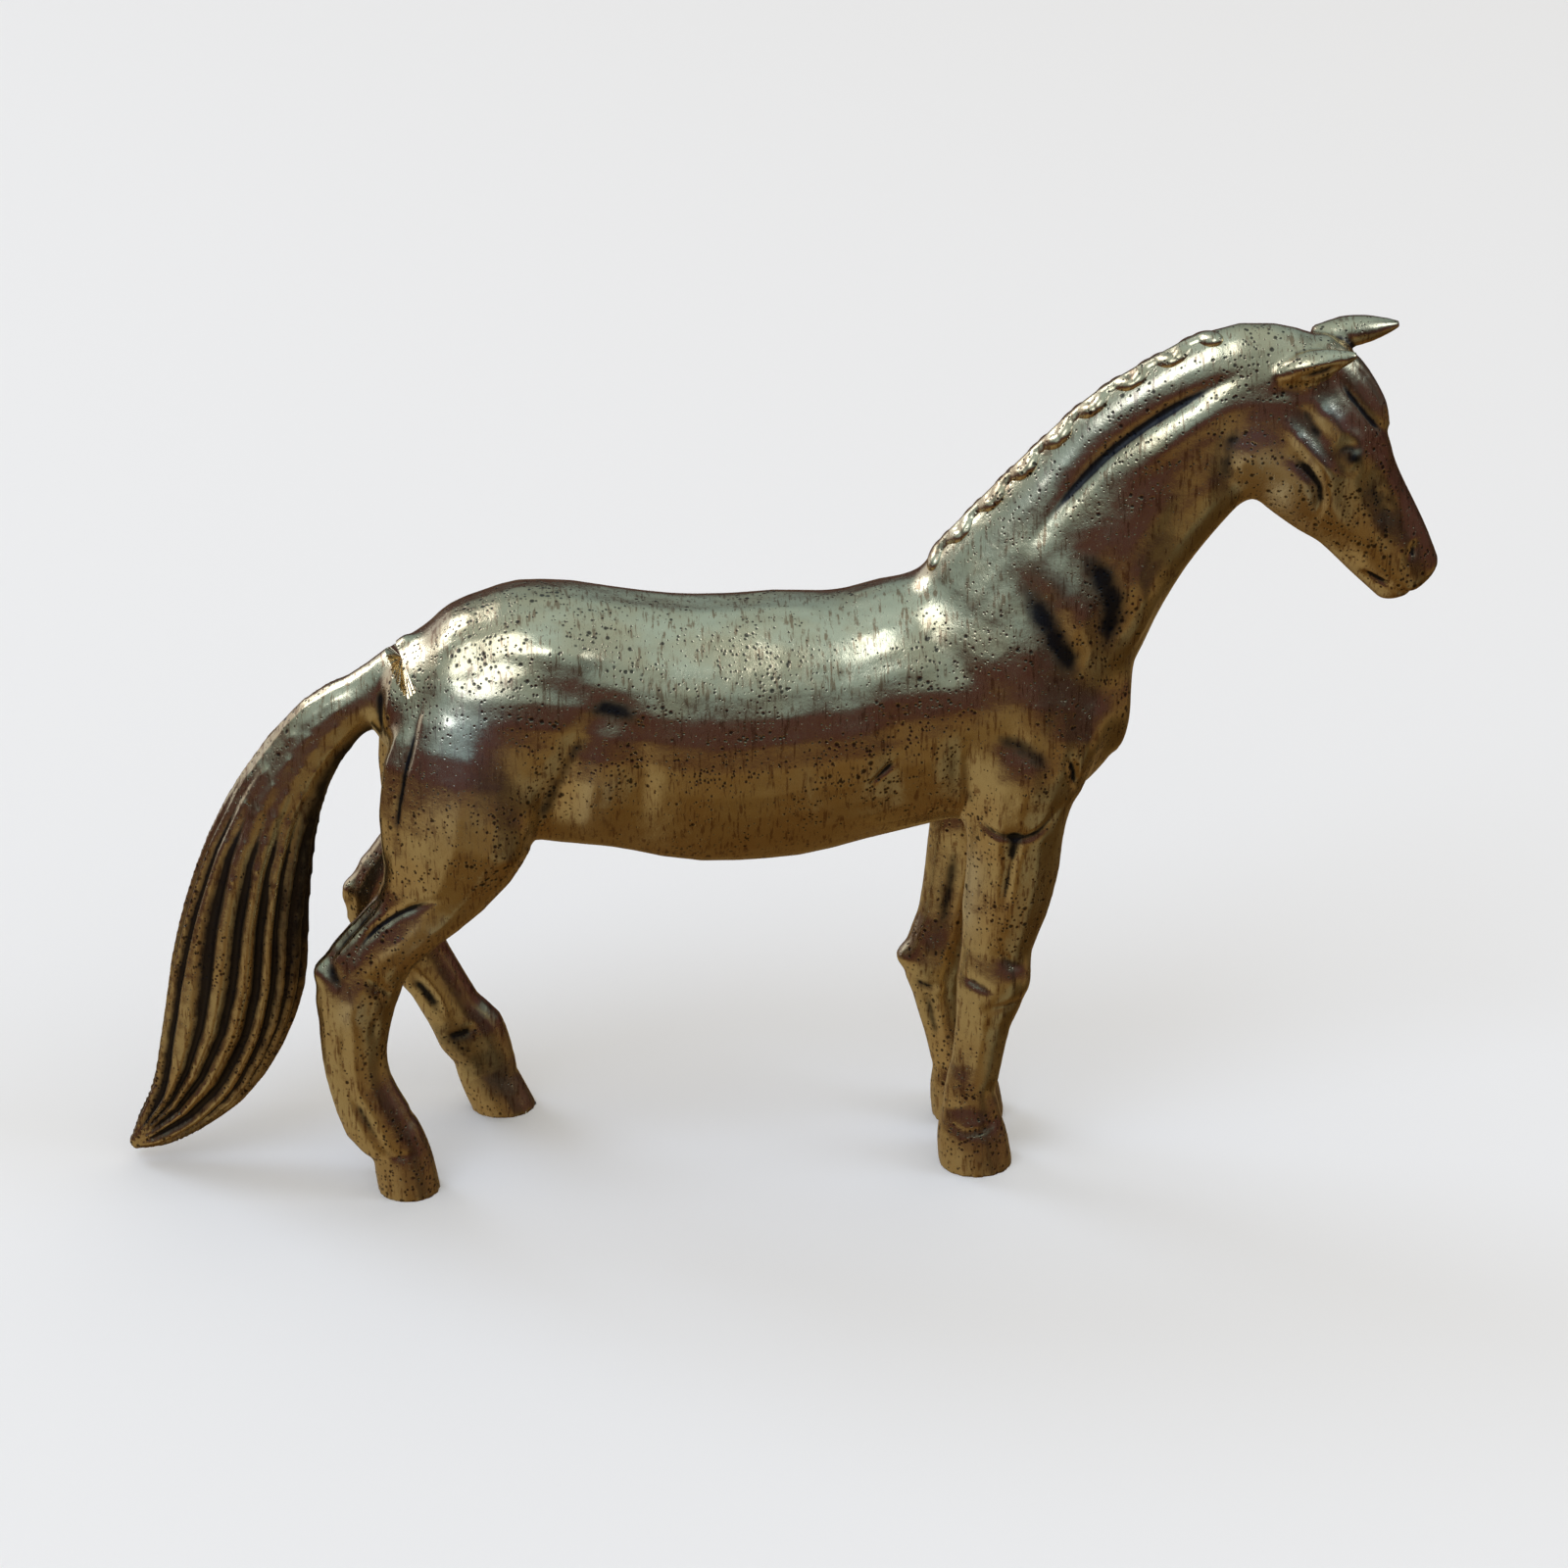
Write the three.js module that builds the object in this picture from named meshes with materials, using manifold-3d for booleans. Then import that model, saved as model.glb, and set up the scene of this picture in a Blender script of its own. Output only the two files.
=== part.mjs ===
// A small walking horse in solid brass, made as a sectional casting: the trunk carries the neck, head,
// tail and four legs on round tenons, each hoof is its own section, and the ears, forelock and plaited
// mane are seated on the surface. Millimetres, +X towards the nose, +Y towards the horse's left, +Z up.
// The origin is on the ground, at the centre of the box that holds the figure.
import * as THREE from "three";
import { mergeVertices } from "three/addons/utils/BufferGeometryUtils.js";
import Module from "manifold-3d";

const wasm = await Module();
wasm.setup();

// Driving dimensions, in millimetres.
const trunkLength = 43.2; // breast to buttock
const barrelDepth = 15.8; // back to belly at the girth
const barrelWidth = 12.4; // across the ribs
const elbowHeight = 21; // ground to the parting of the forelegs
const gaskinHeight = 17.5; // ground to the parting of the hind legs
const kneeDepth = 4.2; // foreleg at the knee, front to back
const kneeWidth = 3.5;
const hockDepth = 5; // hind leg at the hock, front to back
const hockWidth = 3.6;
const foreTrack = 5.8; // between the centres of the fore hooves
const hindTrack = 8.6;
const foreHoofWidth = 4.3;
const hindHoofWidth = 3.6;
const foreHoofHeight = 2.5;
const hindHoofHeight = 2.8;
const neckLength = 17.5; // base to poll, along its axis
const neckDepth = 10.9; // crest to gullet at mid neck
const neckWidth = 7.2;
const headLength = 15.2; // poll to lips
const headDepth = 9.2; // forehead to jowl
const headWidth = 5.8;
const earWidth = 2.1;
const forelockWidth = 2.2;
const maneWidth = 2.4;
const maneSink = 0.45; // its centre line below the crest
const plaitCount = 15;
const plaitRise = 0.3; // how far a plait stands above the thread between two plaits
const tailReach = 15.6; // dock to tip, backwards
const tailTipHeight = 1.1; // ground to the tip
const tailDepth = 7.6; // front to back at its fullest
const tailWidth = 5.2;
const tailLocks = 16; // flutes round the tail
const lockDepth = 0.28;
const brazeGap = 0.12; // clearance that the brazing alloy fills at each joint
const tailClearance = 0.3; // between the tail and the hocks
const neckTenonRadius = 2.1;
const headTenonRadius = 1.5;
const tailTenonRadius = 0.9;
const legTenonRadius = 1;
const hoofTenonRadius = 0.6;
const neckTenonLength = 4;
const headTenonLength = 3;
const tailTenonLength = 2.2;
const legTenonLength = 2.5;
const hoofTenonLength = 1.1;

// What follows from them.
const trunkRear = -23;
const girthHeight = elbowHeight + 0.405 * barrelDepth; // the trunk's axis at the girth
const cutSize = 8 * trunkLength; // a block larger than the figure
const weldDistance = 1e-4;
const roundSegments = 20; // sides of a tenon

// ---- Solids ----

function solidOf(geometry) {
  const bare = new THREE.BufferGeometry().setAttribute("position", geometry.getAttribute("position"));
  if (geometry.index) bare.setIndex(geometry.index);
  const welded = mergeVertices(bare, weldDistance);
  return new wasm.Manifold(
    new wasm.Mesh({
      numProp: 3,
      vertProperties: new Float32Array(welded.attributes.position.array),
      triVerts: new Uint32Array(welded.index.array),
    }),
  );
}

function joined(...solids) {
  return solids.reduce((whole, next) => whole.add(next));
}

function geometryOf(solid) {
  const { vertProperties, triVerts } = solid.getMesh();
  const geometry = new THREE.BufferGeometry();
  geometry.setAttribute("position", new THREE.BufferAttribute(new Float32Array(vertProperties), 3));
  geometry.setIndex(new THREE.BufferAttribute(new Uint32Array(triVerts), 1));
  geometry.computeVertexNormals();
  return geometry;
}

// A station is one cross section: its centre, its half depth in the plane of the curve, its half width
// across it, and how much narrower its dorsal side is. A form is lofted through its stations on smooth
// curves and closed by two domes. grow makes it larger all round, to cut a clearance with.
const station = (x, y, z, deep, wide, pinch = 0) => ({ x, y, z, deep, wide, pinch });

function loft(stations, { rings = 24, sides = 20, grow = 0, dome = 0.6, lobes = 0, lobeDepth = 0 } = {}) {
  const line = new THREE.CatmullRomCurve3(stations.map((s) => new THREE.Vector3(s.x, s.y, s.z)));
  const sizes = new THREE.CatmullRomCurve3(stations.map((s) => new THREE.Vector3(s.deep, s.wide, s.pinch)));
  const domeRings = 4;
  const sections = [];
  for (let i = -domeRings; i <= rings + domeRings; i++) {
    const t = THREE.MathUtils.clamp(i / rings, 0, 1);
    const past = Math.max(-i, i - rings, 0); // rings past the end, on the dome
    const angle = (past / (domeRings + 1)) * (Math.PI / 2);
    const tangent = line.getTangent(t);
    const { x: deep, y: wide, z: pinch } = sizes.getPoint(t);
    const reach = dome * Math.min(deep, wide) + grow;
    sections.push({
      centre: line.getPoint(t).addScaledVector(tangent, Math.sign(i) * reach * Math.sin(angle)),
      tangent,
      pinch,
      deep: (deep + grow) * Math.cos(angle),
      wide: (wide + grow) * Math.cos(angle),
      flute: lobeDepth * Math.sin(Math.PI * t) * Math.cos(angle),
    });
  }
  const points = [];
  for (const { centre, tangent, deep, wide, pinch, flute } of sections) {
    const across = new THREE.Vector3(0, 1, 0).addScaledVector(tangent, -tangent.y).normalize();
    const dorsal = new THREE.Vector3().crossVectors(tangent, across);
    for (let j = 0; j < sides; j++) {
      const turn = (2 * Math.PI * j) / sides;
      const swell = 1 + (flute * Math.cos(lobes * turn)) / Math.max(deep, wide);
      const out = wide * Math.cos(turn) * (1 - pinch * Math.sin(turn)) * swell;
      const up = deep * Math.sin(turn) * swell;
      points.push(centre.clone().addScaledVector(across, out).addScaledVector(dorsal, up));
    }
  }
  const faces = [];
  for (let i = 0; i + 1 < sections.length; i++) {
    for (let j = 0; j < sides; j++) {
      const k = (j + 1) % sides;
      const [a, b, c, d] = [i * sides + j, i * sides + k, (i + 1) * sides + k, (i + 1) * sides + j];
      faces.push(a, b, c, a, c, d);
    }
  }
  const last = (sections.length - 1) * sides;
  const first = points.length;
  for (const [ring, facing] of [[0, -1], [last, 1]]) {
    const { centre, tangent } = sections[ring / sides];
    points.push(centre.clone().addScaledVector(tangent, facing * 0.01));
    const pole = points.length - 1;
    for (let j = 0; j < sides; j++) {
      const k = (j + 1) % sides;
      if (pole === first) faces.push(pole, ring + k, ring + j);
      else faces.push(pole, ring + j, ring + k);
    }
  }
  const geometry = new THREE.BufferGeometry().setFromPoints(points);
  geometry.setIndex(faces);
  return solidOf(geometry);
}

// ---- Joints: a plane that parts two sections, and a tenon on the outer one ----

const joint = (point, normal, tenonRadius, tenonLength) => ({
  point,
  normal: normal.clone().normalize(),
  tenonRadius,
  tenonLength,
});

// Everything on the far side of a joint's plane, moved out along its normal by offset.
function beyond({ point, normal }, offset = 0) {
  const block = new THREE.BoxGeometry(cutSize, cutSize, cutSize);
  block.translate(0, 0, cutSize / 2);
  block.applyQuaternion(new THREE.Quaternion().setFromUnitVectors(new THREE.Vector3(0, 0, 1), normal));
  block.translate(...point.clone().addScaledVector(normal, offset).toArray());
  return solidOf(block);
}

// A rod on the joint's axis, from inside the outer section back into the inner one.
function rod({ point, normal, tenonRadius, tenonLength }, grow = 0, rooted = tenonRadius) {
  const length = tenonLength + grow + rooted;
  const geometry = new THREE.CylinderGeometry(
    tenonRadius + grow,
    tenonRadius + grow,
    length,
    roundSegments,
  );
  geometry.applyQuaternion(new THREE.Quaternion().setFromUnitVectors(new THREE.Vector3(0, 1, 0), normal));
  geometry.translate(...point.clone().addScaledVector(normal, rooted - length / 2).toArray());
  return solidOf(geometry);
}

// ---- The forms ----

// Trunk stations: place along it from the buttock, rise of its axis, depth and width, each as a share
// of the trunk's length, depth and width.
const trunkShape = [
  [0.02, 0.155, 0.36, 0.55],
  [0.07, 0.13, 0.62, 0.8],
  [0.125, 0.12, 0.79, 0.92],
  [0.175, 0.105, 0.92, 0.99],
  [0.23, 0.072, 0.97, 1],
  [0.33, 0.03, 0.96, 1],
  [0.43, -0.01, 1, 1.01],
  [0.53, 0, 1, 1],
  [0.635, 0.038, 0.925, 0.98],
  [0.71, 0.088, 0.93, 0.95],
  [0.81, 0.127, 0.88, 0.9],
  [0.915, 0.127, 0.79, 0.78],
  [0.968, 0.125, 0.52, 0.56],
];

function trunkForm(grow = 0) {
  return loft(
    trunkShape.map(([along, rise, deep, wide]) =>
      station(
        trunkRear + along * trunkLength,
        0,
        girthHeight + rise * barrelDepth,
        (deep * barrelDepth) / 2,
        (wide * barrelWidth) / 2,
      ),
    ),
    { rings: 34, sides: 32, grow, dome: 0.3 },
  );
}

// Neck stations rise in an arc from the shoulders to the poll: place and height as shares of the neck's
// length, then depth and width as shares of its depth and width at mid neck.
const neckBase = new THREE.Vector3(trunkRear + 0.854 * trunkLength, 0, girthHeight + 0.418 * barrelDepth);
const neckShape = [
  [-0.12, -0.2, 1.24, 1.5, 0.1],
  [0, 0, 1.22, 1.42, 0.2],
  [0.137, 0.211, 1.09, 1.22, 0.28],
  [0.274, 0.389, 1, 1, 0.33],
  [0.394, 0.52, 0.96, 0.9, 0.33],
  [0.549, 0.643, 0.88, 0.84, 0.28],
  [0.68, 0.709, 0.86, 0.8, 0.2],
  [0.863, 0.703, 0.76, 0.76, 0.1],
];
const neckPoint = ([along, rise]) =>
  new THREE.Vector3(along * neckLength, 0, rise * neckLength).add(neckBase);

function neckForm(grow = 0) {
  return loft(
    neckShape.map((row) => {
      const { x, y, z } = neckPoint(row);
      return station(x, y, z, (row[2] * neckDepth) / 2, (row[3] * neckWidth) / 2, row[4]);
    }),
    { rings: 22, sides: 28, grow, dome: 0.5 },
  );
}

// The head hangs from the poll, forwards and down: place along it, rise of its axis, depth and width.
const poll = neckPoint([0.749, 0.754]);
const headLean = THREE.MathUtils.degToRad(-55.2);
const headShape = [
  [-0.02, 0.011, 0.96, 0.86, 0.05],
  [0.165, 0.016, 0.97, 1, 0.08],
  [0.33, 0.005, 0.913, 1, 0.05],
  [0.46, 0.008, 0.788, 0.88, 0],
  [0.59, 0.024, 0.647, 0.75, 0],
  [0.79, 0.029, 0.538, 0.62, 0],
  [0.92, 0.027, 0.446, 0.56, 0],
];
const headPoint = (along, rise, side = 0) =>
  new THREE.Vector3(along * headLength, side * headWidth, rise * headDepth)
    .applyAxisAngle(new THREE.Vector3(0, 1, 0), -headLean)
    .add(poll);

function headForm(grow = 0) {
  const skull = loft(
    headShape.map(([along, rise, deep, wide, pinch]) => {
      const { x, y, z } = headPoint(along, rise);
      return station(x, y, z, (deep * headDepth) / 2, (wide * headWidth) / 2, pinch);
    }),
    { rings: 22, sides: 28, grow, dome: 0.55 },
  );
  const eyes = [-1, 1].map((side) => {
    const ball = new THREE.SphereGeometry(0.62 + grow, 14, 10);
    ball.translate(...headPoint(0.343, 0.2, side * 0.42).toArray());
    return solidOf(ball);
  });
  return joined(skull, ...eyes);
}

// Leg stations: forward of the foot's centre, out from the foot's track, height, depth as a share of the
// knee's or hock's depth, width as a share of its width. Height is 0 at the ground, 1 where the leg is
// parted from the trunk and 2 at the girth's axis.
const rightForeShape = [
  [2.6, -0.8, 3.03, 1.5, 1],
  [2.7, 0.5, 2.44, 1.8, 1.3],
  [2.5, 0.85, 1.92, 1.76, 1.35],
  [2, 0.75, 1.52, 1.5, 1.25],
  [1.85, 0.55, 1.2, 1.36, 1.18],
  [1.8, 0.2, 0.93, 1.28, 1.08],
  [1.4, 0.1, 0.8, 1.18, 1],
  [1, 0, 0.685, 1, 0.9],
  [0.75, 0, 0.565, 1, 1],
  [0.3, 0, 0.445, 0.78, 0.76],
  [-0.05, 0, 0.32, 0.71, 0.72],
  [-0.4, 0, 0.215, 0.76, 0.8],
  [-0.15, 0, 0.13, 0.8, 0.86],
  [0.05, 0, 0.05, 0.84, 0.9],
];
const leftForeShape = [
  [2.6, -0.8, 3.03, 1.5, 1],
  [2.7, 0.5, 2.44, 1.8, 1.3],
  [2.2, 0.85, 1.92, 1.76, 1.35],
  [1.3, 0.75, 1.52, 1.5, 1.25],
  [0.9, 0.55, 1.2, 1.4, 1.18],
  [0, 0.2, 0.9, 1.25, 1.08],
  [-0.8, 0.1, 0.74, 1, 0.95],
  [-1.3, 0, 0.63, 0.92, 0.9],
  [-1.95, 0, 0.5, 1, 1],
  [-1.85, 0, 0.4, 0.76, 0.76],
  [-1.4, 0, 0.29, 0.66, 0.72],
  [-0.8, 0, 0.2, 0.74, 0.8],
  [-0.35, 0, 0.13, 0.78, 0.86],
  [0, 0, 0.05, 0.8, 0.9],
];
const rightHindShape = [
  [5.2, -2, 2.38, 1.3, 1.1],
  [4.5, -0.8, 2.17, 1.6, 1.35],
  [3.9, -0.2, 1.92, 1.84, 1.5],
  [3.35, 0.1, 1.58, 1.8, 1.45],
  [2.05, 0, 1.23, 1.28, 1.2],
  [0.6, 0, 1.02, 0.94, 1.02],
  [-1.1, 0, 0.91, 0.9, 0.95],
  [-2.4, 0, 0.785, 1, 1],
  [-2.75, 0, 0.635, 0.84, 0.86],
  [-2.85, 0, 0.52, 0.76, 0.8],
  [-2.6, 0, 0.41, 0.74, 0.8],
  [-1.7, 0, 0.265, 0.82, 0.86],
  [-0.6, 0, 0.155, 0.64, 0.82],
  [-0.2, 0, 0.05, 0.6, 0.8],
];
const leftHindShape = [
  [-0.3, -3, 2.38, 1.3, 1.1],
  [-1, -1.8, 2.17, 1.6, 1.35],
  [-1.8, -1.4, 1.92, 1.86, 1.5],
  [-2.4, -1.1, 1.58, 1.76, 1.45],
  [-3.1, -1, 1.23, 1.4, 1.2],
  [-4.3, -0.9, 1.02, 1.06, 1.02],
  [-5.9, -0.8, 0.91, 0.95, 0.95],
  [-6.4, -0.8, 0.785, 1, 1],
  [-5.2, -0.7, 0.645, 0.84, 0.86],
  [-3.8, -0.6, 0.512, 0.7, 0.8],
  [-2.8, -0.4, 0.392, 0.7, 0.82],
  [-1.85, -0.2, 0.3, 0.84, 0.88],
  [-1.1, -0.05, 0.21, 0.72, 0.84],
  [-0.6, 0, 0.12, 0.62, 0.8],
];

// A foot's place is given as a share of the trunk's length from the buttock.
const footPlace = (share) => trunkRear + share * trunkLength;

// One leg: its form, its hoof's form, and the joints at its root and at its coronet.
const legs = {
  right_foreleg: {
    side: -1,
    foot: 0.7905,
    track: foreTrack,
    height: elbowHeight,
    size: [kneeDepth, kneeWidth],
    shape: rightForeShape,
    hoof: { name: "right_fore_hoof", width: foreHoofWidth, height: foreHoofHeight, lean: -0.35 },
  },
  left_foreleg: {
    side: 1,
    foot: 0.7917,
    track: foreTrack,
    height: elbowHeight,
    size: [kneeDepth, kneeWidth],
    shape: leftForeShape,
    hoof: { name: "left_fore_hoof", width: foreHoofWidth, height: foreHoofHeight, lean: -0.35 },
  },
  right_hind_leg: {
    side: -1,
    foot: 0.0208,
    track: hindTrack,
    height: gaskinHeight,
    size: [hockDepth, hockWidth],
    shape: rightHindShape,
    hoof: { name: "right_hind_hoof", width: hindHoofWidth, height: hindHoofHeight, lean: -0.4 },
  },
  left_hind_leg: {
    side: 1,
    foot: 0.1481,
    track: hindTrack + 1.8,
    height: gaskinHeight,
    size: [hockDepth, hockWidth],
    shape: leftHindShape,
    hoof: { name: "left_hind_hoof", width: hindHoofWidth, height: hindHoofHeight, lean: -1.2 },
  },
};

function legForm({ side, foot, track, height, size: [deep, wide], shape }, grow = 0) {
  return loft(
    shape.map(([ahead, out, rise, depth, width]) =>
      station(
        footPlace(foot) + ahead,
        side * (track / 2 + out),
        rise <= 1 ? rise * height : THREE.MathUtils.lerp(height, girthHeight, rise - 1),
        (depth * deep) / 2,
        (width * wide) / 2,
      ),
    ),
    { rings: 26, sides: 14, grow, dome: 0.4 },
  );
}

// A hoof widens from its coronet to the ground; lean is how far the coronet lies behind the sole.
function hoofForm({ side, foot, track, hoof: { width, height, lean } }) {
  const centre = (t) => [footPlace(foot) + lean * t, (side * track) / 2, height * t];
  return loft(
    [
      station(...centre(-0.5), 0.5 * width, 0.48 * width),
      station(...centre(0), 0.5 * width, 0.48 * width),
      station(...centre(0.5), 0.49 * width, 0.47 * width),
      station(...centre(1), 0.46 * width, 0.44 * width),
      station(...centre(1.5), 0.36 * width, 0.36 * width),
    ],
    { rings: 8, sides: 16 },
  );
}

const tenonRise = 1.22; // a leg's tenon is centred on its first station below this

function legJoints({ side, foot, track, height, shape, hoof }) {
  const root = shape.find(([, , rise]) => rise < tenonRise);
  return {
    root: joint(
      new THREE.Vector3(footPlace(foot) + root[0], side * (track / 2 + root[1]), height),
      new THREE.Vector3(0, 0, -1),
      legTenonRadius,
      legTenonLength,
    ),
    coronet: joint(
      new THREE.Vector3(footPlace(foot) + hoof.lean, (side * track) / 2, hoof.height),
      new THREE.Vector3(-hoof.lean, 0, -hoof.height),
      hoofTenonRadius,
      hoofTenonLength,
    ),
  };
}

// The tail leaves the croup and hangs in one long lock, full below and drawn to a point: how far ahead
// of the dock as a share of its reach, and how far down as a share of the drop to its tip.
const dock = new THREE.Vector3(trunkRear + 0.4, 0, girthHeight + 0.19 * barrelDepth);
const tailShape = [
  [0.135, 0.047, 0.47, 0.5],
  [-0.063, -0.023, 0.4, 0.56],
  [-0.186, -0.069, 0.49, 0.62],
  [-0.3, -0.14, 0.53, 0.7],
  [-0.41, -0.248, 0.66, 0.84],
  [-0.48, -0.355, 0.78, 0.95],
  [-0.539, -0.488, 0.9, 1],
  [-0.577, -0.613, 1, 1],
  [-0.63, -0.72, 0.95, 0.92],
  [-0.717, -0.832, 0.8, 0.76],
  [-0.814, -0.91, 0.57, 0.56],
  [-0.926, -0.971, 0.36, 0.38],
  [-1, -1, 0.13, 0.18],
];

function tailForm() {
  return loft(
    tailShape.map(([ahead, rise, deep, wide]) =>
      station(
        dock.x + ahead * tailReach,
        0,
        dock.z + rise * (dock.z - tailTipHeight),
        (deep * tailDepth) / 2,
        (wide * tailWidth) / 2,
      ),
    ),
    { rings: 22, sides: 3 * tailLocks, lobes: tailLocks, lobeDepth: lockDepth, dome: 0.8 },
  );
}

// An ear is a leaf that tapers to its tip. The left one is pricked, the right one lies further back.
const earRoots = {
  right_ear: [[-0.073, 0.14, -0.3], [0.012, 0.56, -0.4]],
  left_ear: [[-0.02, 0.44, 0.26], [0.12, 0.84, 0.36]],
};

function earForm(name, grow = 0) {
  const [root, tip] = earRoots[name].map((place) => headPoint(...place));
  const at = (t) => root.clone().lerp(tip, t).toArray();
  const half = earWidth / 2;
  return loft(
    [
      station(...at(-0.1), 0.6 * half, 0.7 * half),
      station(...at(0.3), 0.85 * half, half),
      station(...at(0.6), 0.7 * half, 0.85 * half),
      station(...at(0.85), 0.4 * half, 0.5 * half),
      station(...at(0.97), 0.2 * half, 0.25 * half),
    ],
    { rings: 10, sides: 12, grow },
  );
}

// The forelock falls from the poll down the forehead.
function forelockForm(grow = 0) {
  const half = forelockWidth / 2;
  const at = (along, rise) => headPoint(along, rise).toArray();
  return loft(
    [
      station(...at(-0.02, 0.44), 0.5 * half, 0.7 * half),
      station(...at(0.12, 0.48), 0.6 * half, half),
      station(...at(0.27, 0.47), 0.55 * half, 0.9 * half),
      station(...at(0.37, 0.44), 0.25 * half, 0.35 * half),
    ],
    { rings: 10, sides: 14, grow },
  );
}

// The mane is a row of plaits along the crest, sunk in it by half their height.
function maneForm() {
  const crest = neckShape.slice(1, 7).map((row, i, rows) => {
    const ahead = neckPoint(rows[Math.min(i + 1, rows.length - 1)]);
    const along = ahead.sub(neckPoint(rows[Math.max(i - 1, 0)])).normalize();
    const up = new THREE.Vector3(-along.z, 0, along.x);
    return neckPoint(row).addScaledVector(up, (row[2] * neckDepth) / 2 - maneSink);
  });
  const line = new THREE.CatmullRomCurve3(crest);
  const steps = 4 * plaitCount;
  const stations = [];
  for (let i = 0; i <= steps; i++) {
    const { x, y, z } = line.getPoint(i / steps);
    const swell = plaitRise * (0.5 - 0.5 * Math.cos((2 * Math.PI * i) / 4));
    stations.push(station(x, y, z, 0.3 * maneWidth + swell, 0.36 * maneWidth + swell));
  }
  return loft(stations, { rings: steps, sides: 10 });
}

// ---- The sections ----

const neckJoint = joint(
  neckBase,
  new THREE.Vector3(0.41, 0, 0.91),
  neckTenonRadius,
  neckTenonLength,
);
const headJoint = joint(
  neckPoint([0.76, 0.7]),
  new THREE.Vector3(0.947, 0, -0.32),
  headTenonRadius,
  headTenonLength,
);
const tailJoint = joint(
  dock,
  new THREE.Vector3(-0.76, 0, -0.65),
  tailTenonRadius,
  tailTenonLength,
);

// Above the ground.
function standing(form) {
  return form.subtract(beyond({ point: new THREE.Vector3(), normal: new THREE.Vector3(0, 0, -1) }));
}

function legSections(leg) {
  const { root, coronet } = legJoints(leg);
  const form = joined(legForm(leg), hoofForm(leg));
  const below = form.intersect(beyond(root, brazeGap)).subtract(trunkForm(brazeGap));
  return {
    stub: form.subtract(beyond(root)),
    socket: rod(root, brazeGap),
    leg: below.subtract(beyond(coronet)).subtract(rod(coronet, brazeGap)).add(rod(root)),
    hoof: standing(below.intersect(beyond(coronet, brazeGap)).add(rod(coronet))),
  };
}

const pieces = {};
const stubs = [];
const sockets = [rod(neckJoint, brazeGap), rod(tailJoint, brazeGap)];
for (const [name, leg] of Object.entries(legs)) {
  const made = legSections(leg);
  pieces[name] = made.leg;
  pieces[leg.hoof.name] = made.hoof;
  stubs.push(made.stub);
  sockets.push(made.socket);
}

const neckAndHead = joined(neckForm(), headForm());
const neckAndTrunk = joined(trunkForm(), neckAndHead);
const nearHead = joined(neckForm(brazeGap), headForm(brazeGap));
pieces.neck = neckAndTrunk
  .intersect(beyond(neckJoint, brazeGap))
  .subtract(beyond(headJoint))
  .subtract(rod(headJoint, brazeGap))
  .add(rod(neckJoint));
pieces.head = neckAndHead.intersect(beyond(headJoint, brazeGap)).add(rod(headJoint));

pieces.tail = tailForm()
  .intersect(beyond(tailJoint, brazeGap))
  .subtract(joined(trunkForm(brazeGap), ...Object.values(legs).map((leg) => legForm(leg, tailClearance))))
  .add(rod(tailJoint));

pieces.trunk = joined(
  trunkForm(),
  neckForm(),
  tailForm().subtract(beyond(tailJoint)),
  ...stubs,
).subtract(joined(beyond(neckJoint), ...sockets));

pieces.right_ear = earForm("right_ear").subtract(nearHead);
pieces.left_ear = earForm("left_ear").subtract(nearHead);
const nearEars = joined(nearHead, earForm("right_ear", brazeGap), earForm("left_ear", brazeGap));
pieces.forelock = forelockForm().subtract(nearEars);
pieces.plaited_mane = maneForm().subtract(joined(nearEars, forelockForm(brazeGap)));

// ---- The figure ----

const colours = { body: 0xb08d57, locks: 0x9c7b48, hooves: 0x8a6a3c };
const slotOf = (name) =>
  /hoof/.test(name) ? "hooves" : /mane|tail|forelock/.test(name) ? "locks" : "body";

const figure = new THREE.Group();
figure.name = "walking_horse";
const box = new THREE.Box3();
for (const [name, solid] of Object.entries(pieces)) {
  const material = new THREE.MeshStandardMaterial({
    color: colours[slotOf(name)],
    metalness: 1,
    roughness: 0.35,
  });
  const mesh = new THREE.Mesh(geometryOf(solid), material);
  mesh.name = name;
  box.expandByObject(mesh);
  figure.add(mesh);
}
const middle = box.getCenter(new THREE.Vector3());
for (const mesh of figure.children) mesh.geometry.translate(-middle.x, -middle.y, -box.min.z);

export default figure;
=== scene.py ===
"""A walking horse in solid brass: its cast skin, its plaited mane and the stage it stands on."""

import math

import bmesh
import bpy
import numpy as np
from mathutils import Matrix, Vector
from mathutils.bvhtree import BVHTree
from mathutils.kdtree import KDTree


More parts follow.
